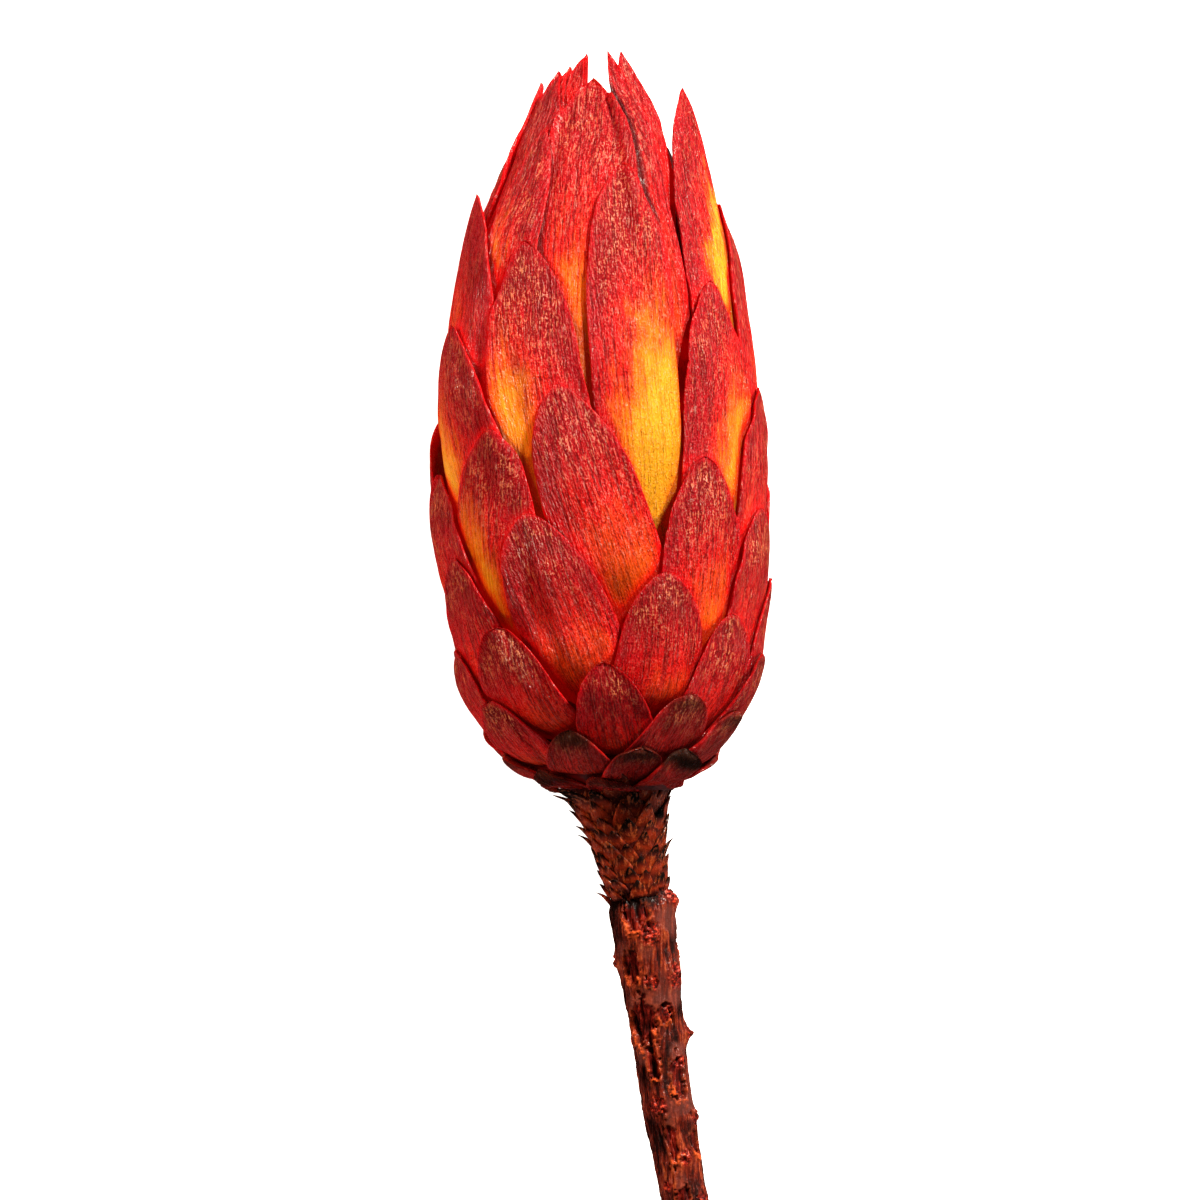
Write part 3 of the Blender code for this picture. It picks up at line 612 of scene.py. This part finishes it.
def bark(down, turn):
    """The bark's height over the stem's mean surface, and how much each point is raw scar, lip
    or bare fibre, or smooth.

    Strands, fibres and threads are ridges of three sizes. A scar is a bell covered in crumbs,
    with small pits. A window sinks steeply and shows deeper fibres. Its lip is raised and torn,
    and strongest at its lower end.
    """
    radius = np.interp(down, STEM_LINE[:, 0], STEM_LINE[:, 2])
    x, y = radius * np.cos(turn), radius * np.sin(turn)
    strand = ridges(x, y, down, 30, 1.1, 11.0)
    fibre = ridges(x, y, down, 31, 0.55, 5.0)
    thread = ridges(x, y, down, 32, 0.26, 2.2)
    lump = lumps(x, y, down, 33, 2.2, 3.4)
    crumb = lumps(x, y, down, 34, 0.6, 0.8)
    grain = lumps(x, y, down, 35, 0.28, 0.34)
    ragged = 0.34 * crumb + 0.22 * grain + 0.16 * fibre
    raw = np.zeros(np.broadcast(down, turn).shape)
    lip, bare, height = raw.copy(), raw.copy(), raw.copy()

    def offset(mark_down, mark_turn):
        sideways = (turn - mark_turn + math.pi) % (2 * math.pi) - math.pi
        return sideways * radius, down - mark_down

    for mark_down, mark_turn, half_across, half_along in WINDOWS:
        sideways, along = offset(mark_down * MM, math.radians(mark_turn))
        away = (np.abs(sideways / (half_across * MM)) ** 2.6
                + np.abs(along / (half_along * MM)) ** 2.6) ** (1 / 2.6) + ragged
        bare = np.maximum(bare, 1 - rise_between(away, 0.75, 1.0))
        torn = rise_between(along / (half_along * MM), -0.5, 0.7) * rise_between(crumb, -0.35, 0.3)
        edge = np.exp(-(((away - 1.05) / 0.13) ** 2)) * (0.15 + 0.85 * torn)
        lip = np.maximum(lip, edge)
        height += 0.30 * MM * edge
    for mark_down, mark_turn, size, rise in all_scars():
        sideways, along = offset(mark_down, mark_turn)
        away = np.hypot(sideways, along * 0.9) / size + 0.6 * ragged
        inside = 1 - rise_between(away, 0.55, 1.05)
        raw = np.maximum(raw, inside)
        height += rise * np.exp(-(away**2)) + inside * (0.34 * crumb + 0.26 * grain) * MM
    whole = 1 - np.maximum(raw, bare)
    smooth = rise_between(lump, 0.0, 0.45) * whole
    height += (0.16 * strand + 0.13 * fibre + 0.05 * thread) * (1 - 0.75 * smooth) * whole * MM
    height += (0.22 * lump + 0.07 * crumb + 0.04 * grain) * MM
    height += bare * (0.26 * fibre + 0.14 * thread + 0.05 * crumb - 0.42) * MM
    return height, raw, lip, bare, smooth


def make_stem(material):
    """The bark-covered stem, its lower end cut square through the wood."""
    start = COLLAR_END + CLEARANCE
    down = np.linspace(start, STEM_END, STEM_RINGS)[:, None]
    turns = -np.linspace(0, 2 * math.pi, STEM_SIDES, endpoint=False)[None, :]
    height, raw, lip, bare, smooth = bark(down, turns)
    height = height - BARK_SINK * (1 - rise_between(down, start, start + SUNK_END))
    rings = round_stem(down, turns, height)
    values = {"raw": raw, "lip": lip, "bare": bare, "smooth": smooth,
              "relief_mm": height / MM, "wood": np.zeros_like(raw)}
    shares = CUT_RINGS[:, None, None]
    centre, _, _, _ = stem_frame(np.array(STEM_END))
    end = centre + (rings[-1] - centre) * shares
    radial = 0.05 * MM * np.cos(turns * 17)[..., None] * shares
    end[..., 1] += 0.12 * MM - radial[..., 0] - 0.25 * MM * (shares[..., 0] < 0.25)
    rings = np.concatenate([rings, end])
    for key in values:
        fill = shares[..., 0] * np.ones_like(turns) if key == "wood" else 0 * end[..., 0]
        values[key] = np.concatenate([np.broadcast_to(values[key], height.shape), fill])
    piece = Piece("bark_stem")
    piece.add(lay_down(rings), **values)
    return piece.make(material, "bark", "stem")


def scale_rings(tip, turn, size, stand, curl):
    """A scale leaf from its tip to its root, in the collar: pointed, arched across, its tip
    standing off and curling out. Rings run across the outer face and back across the inner."""
    outer_face, inner_face = np.linspace(-1, 0.9, 9), np.linspace(1, -0.8, 5)
    across = np.concatenate([outer_face, inner_face])[None, :]
    inner = (np.arange(across.size) >= outer_face.size)[None, :]
    share = np.array([0.01, 0.05, 0.1, 0.18, 0.27, 0.38, 0.5, 0.62, 0.75, 0.88, 1.0])[:, None]
    down = tip + SCALE_LENGTH * size * share
    _, radius, _, _ = stem_frame(down)
    width = SCALE_HALF_WIDTH * size * (0.03 + 0.97 * share**0.85)
    lift = SCALE_STAND * stand * (1 - share) ** 2 + 0.30 * MM * (1 - share) ** 0.8
    lift += curl * MM * np.clip(1 - share / 0.3, 0, None) ** 2
    lift = lift - 0.35 * MM * share**2 - 0.16 * MM * across**2 * (0.3 + 0.7 * share)
    lift += np.interp(-down, HEAD_PROFILE[:4, 0], HEAD_PROFILE[:4, 1] - HEAD_PROFILE[0, 1])
    lift += 0.06 * MM * np.cos(across * 9) * share
    thickness = SCALE_THICKNESS * np.sqrt(np.clip(share / 0.15, 0, 1)) + 0.6 * MM * share
    thickness = thickness * (1 - 0.35 * across**2)
    side = turn + across * width / radius
    rings = round_stem(down, side, lift - np.where(inner, thickness, 0))
    return rings, share, across


def make_collar(material):
    """The neck under its scale leaves, which follow the golden angle down it. Its ends run a
    little into the head and the stem."""
    down = np.linspace(-SUNK_END, COLLAR_END + SUNK_END, COLLAR_RINGS)[:, None]
    turns = -np.linspace(0, 2 * math.pi, COLLAR_SIDES, endpoint=False)[None, :]
    _, radius, _, _ = stem_frame(down)
    x, y = radius * np.cos(turns), radius * np.sin(turns)
    height = (0.10 * lumps(x, y, down, 41, 0.9, 1.6)
              + 0.06 * lumps(x, y, down, 42, 0.35, 0.8) - 0.25) * MM
    height = height - COLLAR_SINK * rise_between(down, COLLAR_END - MM, COLLAR_END + SUNK_END)
    piece = Piece("collar_scales")
    piece.add(lay_down(round_stem(down, turns, height)), share=1.0, lobe=0.0, chance=0.5)
    rng = np.random.default_rng(SCATTER_SEED)
    for number in range(SCALES):
        lower = (number / (SCALES - 1)) ** 0.85
        tip = SCALE_FIRST + (SCALE_LAST - SCALE_FIRST) * lower
        size = rng.uniform(0.9, 1.2) * (1 - 0.5 * lower)
        stand, curl = rng.uniform(0.0, 0.3), rng.uniform(-0.15, 0.1)
        if rng.uniform() < SPIKY and tip > SPIKY_FROM:
            stand, curl = stand + rng.uniform(0.4, 0.9), 0.3
        turn = -GOLDEN_ANGLE * number + rng.uniform(-0.12, 0.12)
        rings, share, across = scale_rings(tip, turn, size, stand, curl)
        piece.add(lay_down(rings), share=share, lobe=np.abs(across), chance=rng.uniform())
    return piece.make(material, "scale_leaf", "scale_collar")


def make_core(material, skin):
    """The receptacle that the bracts stand on, as a turned shape under the skin."""
    heights = np.concatenate([
        np.linspace(0, CORE_TOP - 6 * MM, CORE_RINGS), CORE_TOP - np.array([4, 2, 1, 0.3, 0]) * MM])
    runs = skin.run_at(heights)
    _, radius = skin.at(runs, 0.0)
    radius = radius - CORE_DEPTH * np.clip(heights / CORE_FOOT, 0, 1)
    radius[-4:] *= np.array([0.97, 0.85, 0.6, 0.3])
    turns = np.linspace(0, 2 * math.pi, CORE_SIDES, endpoint=False)
    x, y = np.cos(turns)[None, :] * 12 * MM, np.sin(turns)[None, :] * 12 * MM
    bumps = 0.3 * MM * lumps(x, y, heights[:, None], 51, 2, 3)
    rings = around_axis(heights[:, None], radius[:, None] - 0.3 * MM + bumps, turns[None, :])
    piece = Piece("receptacle")
    piece.add(lay_down(rings))
    return piece.make(material, "bract", "flower_head")


def paint(red, green, blue):
    """A colour given from 0 to 255 on a screen, as the linear one that a shader takes."""
    value = np.array([red, green, blue]) / 255
    linear = np.where(value <= 0.04045, value / 12.92, ((value + 0.055) / 1.055) ** 2.4)
    return (*linear.tolist(), 1.0)


class Finish:
    """A material whose nodes are added by short calls. Each call returns the socket it made."""

    def __init__(self, name, **constants):
        """constants are the shader's values that are the same all over."""
        self.material = bpy.data.materials.new(name)
        self.material.use_nodes = True
        self.tree = self.material.node_tree
        self.shader = self.tree.nodes["Principled BSDF"]
        for key, value in constants.items():
            self.shader.inputs[key.replace("_", " ")].default_value = value

    def node(self, kind, *inputs, **settings):
        """A node with its inputs in order, each a socket, a number, a colour or None."""
        made = self.tree.nodes.new(kind)
        for key, value in settings.items():
            setattr(made, key, value)
        for place, value in zip(made.inputs, inputs):
            if isinstance(value, bpy.types.NodeSocket):
                self.tree.links.new(value, place)
            elif value is not None:
                place.default_value = value
        return made

    def value(self, name):
        return self.node("ShaderNodeAttribute", attribute_name=name).outputs["Fac"]

    def sum(self, a, b):
        return self.node("ShaderNodeMath", a, b, operation="ADD").outputs[0]

    def less(self, a, b):
        return self.node("ShaderNodeMath", a, b, operation="SUBTRACT").outputs[0]

    def times(self, a, b):
        return self.node("ShaderNodeMath", a, b, operation="MULTIPLY").outputs[0]

    def fade(self, distance, length):
        """exp(-distance / length)"""
        share = self.times(distance, -1 / length)
        return self.node("ShaderNodeMath", share, operation="EXPONENT").outputs[0]

    def step(self, value, low, high, to_low=0.0, to_high=1.0):
        """A smooth step, whose ends may be any two numbers."""
        made = self.node("ShaderNodeMapRange", value, low, high, to_low, to_high,
                         interpolation_type="SMOOTHSTEP")
        return made.outputs["Result"]

    def place(self, x, y, z):
        return self.node("ShaderNodeCombineXYZ", x, y, z).outputs[0]

    def stretch(self, vector, scale):
        return self.node("ShaderNodeMapping", vector, None, None, scale).outputs[0]

    def noise(self, vector, scale=1.0, detail=2.0, roughness=0.5):
        made = self.node("ShaderNodeTexNoise")
        self.tree.links.new(vector, made.inputs["Vector"])
        made.inputs["Scale"].default_value = scale
        made.inputs["Detail"].default_value = detail
        made.inputs["Roughness"].default_value = roughness
        return made.outputs["Fac"]

    def specks(self, vector, scale):
        """Distance to the nearest of a scatter of points, and that point's own colour."""
        made = self.node("ShaderNodeTexVoronoi")
        self.tree.links.new(vector, made.inputs["Vector"])
        made.inputs["Scale"].default_value = scale
        return made.outputs["Distance"], made.outputs["Color"]

    def ramp(self, value, stops):
        """Each stop is a place from 0 to 1 and a colour from 0 to 255."""
        made = self.node("ShaderNodeValToRGB", value)
        elements = made.color_ramp.elements
        while len(elements) < len(stops):
            elements.new(0.5)
        for element, (position, *colour) in zip(elements, stops):
            element.position, element.color = position, paint(*colour)
        return made.outputs["Color"]

    def mix(self, share, a, b):
        made = self.node("ShaderNodeMix", data_type="RGBA")
        for key, value in (("Factor_Float", share), ("A_Color", a), ("B_Color", b)):
            place = next(s for s in made.inputs if s.identifier == key)
            if isinstance(value, bpy.types.NodeSocket):
                self.tree.links.new(value, place)
            else:
                place.default_value = value
        return next(s for s in made.outputs if s.identifier == "Result_Color")

    def bump(self, height, distance, below=None):
        made = self.node("ShaderNodeBump")
        made.inputs["Distance"].default_value = distance
        self.tree.links.new(height, made.inputs["Height"])
        if below:
            self.tree.links.new(below, made.inputs["Normal"])
        return made.outputs["Normal"]

    def link(self, **sockets):
        for key, socket in sockets.items():
            self.tree.links.new(socket, self.shader.inputs[key.replace("_", " ")])
        return self.material


def bract_finish():
    """Dried bract: dusty crimson at the tip, through red and orange to a yellow foot, with a
    red margin, fine ribs down the blade with painted shade in their grooves and pits, and short
    silky hairs that catch the light. Next to the bract over it, a red glow is painted in, with
    colour and emission, for the light that comes through; a painted contact shadow lines the
    covering margin, and the gap beside the deep bract is painted dark as shade."""
    # The red emission colour is for the painted glow next to a covering bract.
    f = Finish("dried_bract", Subsurface_Weight=0.20, Subsurface_Scale=0.0016,
               Subsurface_Radius=(1.0, 0.20, 0.06), Emission_Color=(1.0, 0.0, 0.0, 1.0))
    side, down, margin = f.value("side_mm"), f.value("down_mm"), f.value("margin_mm")
    ripe, chance = f.value("ripe"), f.times(f.value("chance"), 60.0)
    face = f.place(side, down, chance)
    streak = f.noise(f.stretch(face, (2.4, 0.12, 1)), 1.0, 3.0, 0.6)
    rib = f.noise(f.stretch(face, (3.4, 0.14, 1)), 1.0, 1.0, 0.5)
    thread = f.noise(f.stretch(face, (4.6, 0.9, 1)), 1.0, 2.0, 0.6)
    blotch = f.noise(f.stretch(face, (0.34, 0.18, 1)), 1.0, 4.0, 0.6)
    grain = f.noise(f.stretch(face, (4.4, 3.2, 1)), 1.0, 3.0, 0.7)
    nap = f.sum(f.times(thread, 0.50), f.times(grain, 0.50))

    age = f.sum(ripe, f.times(f.less(streak, 0.5), 0.40))
    age = f.sum(age, f.times(f.less(blotch, 0.5), 0.62))
    age = f.sum(age, f.times(f.times(side, f.value("slant")), 0.05))
    age = f.less(age, f.times(f.fade(margin, 1.4), 0.40))
    # Painted red glow: where a later bract covers nearby, the colour turns redder and glows,
    # standing for light that comes through.
    covered = f.times(f.step(f.value("cover"), 0.06, 0.5), f.step(blotch, 0.40, 0.56, 0.35, 1.0))
    painted_glow_share = f.times(covered, f.value("glow"))
    age = f.less(age, f.times(painted_glow_share, 0.4))
    age = f.times(f.step(age, 0.06, 1.06), f.value("gold"))
    colour = f.ramp(age, [
        (0.0, 160, 4, 18), (0.18, 182, 4, 12), (0.38, 206, 16, 6),
        (0.54, 214, 56, 4), (0.74, 220, 104, 6), (1.0, 224, 150, 22)])

    dusty = f.times(f.step(ripe, 0.68, 0.15), f.value("dusk"))
    dusty = f.times(dusty, f.step(margin, 0.1, 1.5))
    dusk = f.times(dusty, f.step(f.sum(blotch, f.times(streak, 0.6)), 0.60, 0.92))
    colour = f.mix(f.times(dusk, 0.8), colour, paint(92, 8, 14))
    red = f.step(age, 0.80, 0.40, 0.25, 1.0)
    # Painted shade: darker in the rib grooves, which the rib bump below also carves.
    painted_groove_shade = f.times(f.step(rib, 0.56, 0.34, 0.0, 0.6), red)
    colour = f.mix(painted_groove_shade, colour, paint(92, 4, 6))
    # Painted shade: darker in the low pits of the nap, which the thread and grain bumps also carve.
    painted_pit_shade = f.times(f.step(nap, 0.50, 0.40, 0.0, 0.75), red)
    colour = f.mix(painted_pit_shade, colour, paint(84, 4, 4))
    silk = f.step(nap, 0.51, 0.59)
    patchy = f.step(f.noise(f.stretch(face, (0.5, 0.3, 1)), 1.0, 3.0), 0.40, 0.60, 0.2, 1.0)
    hair = f.times(f.times(silk, patchy), f.sum(f.times(dusty, 0.66), 0.10))
    colour = f.mix(hair, colour, paint(238, 136, 84))

    rim = f.times(f.fade(margin, 0.40), f.step(blotch, 0.36, 0.60, 0.10, 0.70))
    colour = f.mix(rim, colour, paint(178, 4, 12))
    # Painted red glow next to the covering bract.
    colour = f.mix(f.times(painted_glow_share, 0.75), colour, paint(206, 2, 2))
    # Painted contact shadow: a thin dark line right at the margin of the bract that covers this
    # one.
    painted_contact_shadow = f.step(f.value("cover"), 0.41, 0.50, 0.0, 0.60)
    # Painted shade: near black in the deep gap beside the top of the tall deep bract.
    painted_gap_shade = f.times(f.step(f.value("cover"), 0.06, 0.26, 0.0, 0.95), f.value("deep"))
    painted_gap_shade = f.times(painted_gap_shade, f.step(down, 30.0, 22.0))
    colour = f.mix(painted_contact_shadow, colour, paint(54, 2, 3))
    colour = f.mix(painted_gap_shade, colour, paint(34, 1, 2))
    distance, cell = f.specks(f.stretch(face, (0.42, 0.36, 1)), 1.0)
    chosen = f.step(f.node("ShaderNodeSeparateColor", cell).outputs[0], 0.72, 0.74)
    speck = f.times(f.step(distance, 0.055, 0.035), chosen)
    colour = f.mix(f.times(speck, 0.85), colour, paint(50, 20, 12))
    colour = f.mix(f.value("inner"), colour, paint(180, 4, 8))
    burnt = f.sum(down, f.times(f.less(blotch, 0.5), 4.0))
    burnt = f.times(f.step(burnt, 3.4, 1.4), f.value("char"))
    colour = f.mix(f.times(f.value("char"), 0.35), colour, paint(84, 26, 12))
    colour = f.mix(burnt, colour, paint(38, 20, 14))

    shine = f.times(f.sum(f.times(silk, 0.95), 0.08), f.step(burnt, 0.0, 1.0, 1.0, 0.3))
    matt = f.step(silk, 0.0, 1.0, 0.40, 0.26)
    normal = f.bump(rib, 0.45 * MM)
    normal = f.bump(thread, 0.24 * MM, normal)
    normal = f.bump(grain, 0.22 * MM, normal)
    # The emission is the painted glow.
    return f.link(Base_Color=colour, Roughness=matt, Normal=normal, Specular_IOR_Level=shine,
                  Emission_Strength=f.times(painted_glow_share, 0.26))


def dry_sheen(f, colour, fibre, fibre_depth, crumb, crumb_depth):
    """A rough dry surface that glints where its fibres and crumbs stand high."""
    glint = f.step(f.sum(f.times(fibre, 0.5), f.times(crumb, 0.5)), 0.52, 0.60)
    normal = f.bump(crumb, crumb_depth, f.bump(fibre, fibre_depth))
    return f.link(Base_Color=colour, Normal=normal, Roughness=f.step(glint, 0.0, 1.0, 0.65, 0.30),
                  Specular_IOR_Level=f.sum(f.times(glint, 0.60), 0.06))


def bark_finish():
    """Dry dark red bark: grey-mauve where its skin is whole, deep red on bare fibres, orange on
    torn lips, raw red on the scars. It is painted lighter where it stands high and darker in its
    hollows, as painted highlight and shade. The cut end is pale wood with a pith."""
    f = Finish("dry_bark")
    at = f.node("ShaderNodeTexCoord").outputs["Object"]
    fibre = f.noise(f.stretch(at, (2600, 260, 2600)), 1.0, 4.0, 0.7)
    patch = f.noise(f.stretch(at, (420, 200, 420)), 1.0, 4.0, 0.65)
    crumb = f.noise(at, 1900.0, 3.0, 0.7)
    relief = f.value("relief_mm")
    tone = f.sum(f.times(fibre, 0.65), f.times(patch, 0.55))
    # Partly the bark's own tone, partly painted highlight and shade: lighter on raised fibres and
    # high bark, darker in its hollows.
    colour = f.ramp(f.sum(tone, f.times(relief, 0.16)), [
        (0.50, 12, 3, 2), (0.59, 44, 8, 4), (0.68, 94, 22, 8),
        (0.78, 150, 60, 24), (0.88, 214, 136, 84)])
    colour = f.mix(f.times(f.value("smooth"), 0.55), colour, paint(98, 46, 38))
    deep = f.ramp(fibre, [(0.36, 26, 2, 1), (0.52, 92, 10, 4), (0.7, 156, 40, 14)])
    colour = f.mix(f.times(f.value("bare"), 0.85), colour, deep)
    lip = f.times(f.value("lip"), f.step(crumb, 0.38, 0.58, 0.25, 1.0))
    colour = f.mix(lip, colour, paint(214, 84, 34))
    flesh = f.ramp(crumb, [
        (0.40, 20, 3, 2), (0.52, 96, 12, 6), (0.62, 178, 40, 16), (0.74, 230, 116, 56)])
    colour = f.mix(f.times(f.value("raw"), 0.9), colour, flesh)
    # Painted shade: near black at the bottom of the deepest hollows.
    colour = f.mix(f.step(relief, -0.15, -0.55), colour, paint(12, 2, 1))
    wood = f.value("wood")
    ring = f.ramp(wood, [
        (0.0, 170, 120, 80), (0.22, 196, 150, 104), (0.3, 214, 178, 130),
        (0.75, 196, 148, 98), (0.9, 120, 62, 40), (1.0, 90, 30, 20)])
    colour = f.mix(f.step(wood, 0.0, 0.08), colour, ring)
    return dry_sheen(f, colour, fibre, 0.16 * MM, crumb, 0.10 * MM)


def scale_finish():
    """Brown papery scale leaves: dark tips, orange-brown towards the root, with pale fibres, partly
    a painted highlight on the fibres that stand high, and patches of dark margin."""
    f = Finish("papery_scale")
    at = f.node("ShaderNodeTexCoord").outputs["Object"]
    fibre = f.noise(f.stretch(at, (2200, 500, 2200)), 1.0, 3.0, 0.65)
    patch = f.noise(at, 320.0, 3.0, 0.6)
    crumb = f.noise(at, 1700.0, 2.0, 0.7)
    share = f.sum(f.value("share"), f.less(patch, 0.5))
    share = f.sum(share, f.times(f.less(f.value("chance"), 0.5), 0.5))
    colour = f.ramp(share, [
        (0.0, 12, 4, 3), (0.18, 26, 7, 4), (0.36, 70, 14, 5), (0.60, 120, 32, 8), (1.0, 40, 5, 3)])
    # Pale on the raised fibres: partly their own colour, partly a painted highlight.
    colour = f.mix(f.step(fibre, 0.50, 0.70, 0.0, 0.60), colour, paint(184, 80, 32))
    edge = f.times(f.step(f.value("lobe"), 0.78, 1.0), f.step(patch, 0.6, 0.4))
    colour = f.mix(f.times(edge, 0.75), colour, paint(18, 6, 4))
    return dry_sheen(f, colour, fibre, 0.14 * MM, crumb, 0.08 * MM)


def core_finish():
    """The dark red receptacle, which only shows through the gaps."""
    f = Finish("receptacle_red")
    at = f.node("ShaderNodeTexCoord").outputs["Object"]
    patch = f.noise(at, 500.0, 3.0, 0.6)
    colour = f.ramp(patch, [(0.3, 60, 4, 6), (0.7, 120, 10, 8)])
    return f.link(Base_Color=colour, Normal=f.bump(patch, 0.2 * MM))


def floor_finish():
    """A plain pale matt sheet that glows a little, as if lit from below, with the faintest
    mottle."""
    f = Finish("pale_floor", Roughness=0.9, Emission_Color=(1, 1, 1, 1), Emission_Strength=1.0)
    at = f.node("ShaderNodeTexCoord").outputs["Object"]
    colour = f.ramp(f.noise(at, 6.0), [(0.3, 247, 247, 247), (0.7, 250, 250, 250)])
    return f.link(Base_Color=colour)


def make_floor():
    """The sheet that the flower lies on, just under it."""
    half = 2.0
    mesh = bpy.data.meshes.new("floor")
    mesh.from_pydata([(-half, -half, 0), (half, -half, 0), (half, half, 0), (-half, half, 0)],
                     [], [(0, 1, 2, 3)])
    mesh.materials.append(floor_finish())
    floor = bpy.data.objects.new("floor", mesh)
    floor.location.z = -0.02 * MM
    floor.visible_glossy = False
    bpy.context.scene.collection.objects.link(floor)


# The studio: the view's middle, how wide it is there, and how high the camera hangs over it.
VIEW_MIDDLE = (0.0, 0.0108, 0.022)
VIEW_WIDTH, CAMERA_HEIGHT = 0.1565, 0.55
SENSOR = 36.0
# Lights: place, size, power and colour, aimed at the middle of the view.
LIGHTS = {
    "key": ((0.36, 0.50, 0.42), 0.08, 16.0, (255, 246, 232)),
    "fill": ((-0.60, 0.20, 0.28), 0.40, 5.2, (255, 226, 196)),
}
SURROUND = 0.17            # the strength of the light from all round


def aim(obj, place, target):
    """Puts an object at a place with its -Z towards the target and its +Y up the picture."""
    obj.location = place
    direction = Vector(target) - Vector(place)
    obj.rotation_euler = direction.to_track_quat("-Z", "Y").to_euler()


def make_studio():
    """The camera straight above, as the photograph is seen, and soft lights round it."""
    camera = bpy.data.objects.new("camera", bpy.data.cameras.new("camera"))
    bpy.context.scene.collection.objects.link(camera)
    camera.location = (VIEW_MIDDLE[0], VIEW_MIDDLE[1], VIEW_MIDDLE[2] + CAMERA_HEIGHT)
    camera.data.sensor_width = SENSOR
    camera.data.lens = SENSOR * CAMERA_HEIGHT / VIEW_WIDTH
    camera.data.clip_start = 0.01
    bpy.context.scene.camera = camera
    for name, (place, size, power, colour) in LIGHTS.items():
        lamp = bpy.data.lights.new(name, "AREA")
        lamp.shape, lamp.size, lamp.energy = "DISK", size, power
        lamp.color = paint(*colour)[:3]
        light = bpy.data.objects.new(name, lamp)
        light.visible_glossy = name == "key"
        bpy.context.scene.collection.objects.link(light)
        aim(light, place, VIEW_MIDDLE)
    world = bpy.data.worlds.new("surround")
    bpy.context.scene.world = world
    world.use_nodes = True
    world.cycles_visibility.glossy = False
    world.node_tree.nodes["Background"].inputs["Strength"].default_value = SURROUND
    world.node_tree.nodes["Background"].inputs["Color"].default_value = (1, 1, 1, 1)
    bpy.context.scene.view_settings.view_transform = "Standard"


def make_head():
    """The bracts in tiers, each its own piece, on their receptacle."""
    skin = Skin(HEAD_PROFILE)
    pile = Pile(skin)
    outermost = TIERS["base_bracts"][0]
    bracts = {number: Bract(number, skin) for number in range(LAST_BRACT, outermost - 1, -1)}
    for bract in bracts.values():
        pile.lay(bract)
    for bract in bracts.values():
        pile.cover(bract)
    finish = bract_finish()
    for name, (first, last) in TIERS.items():
        piece = Piece(name)
        for number in range(first, last + 1):
            add_bract(piece, bracts[number])
        piece.make(finish, "bract", "flower_head")
    make_core(core_finish(), skin)


make_head()
make_collar(scale_finish())
make_stem(bark_finish())
make_floor()
make_studio()
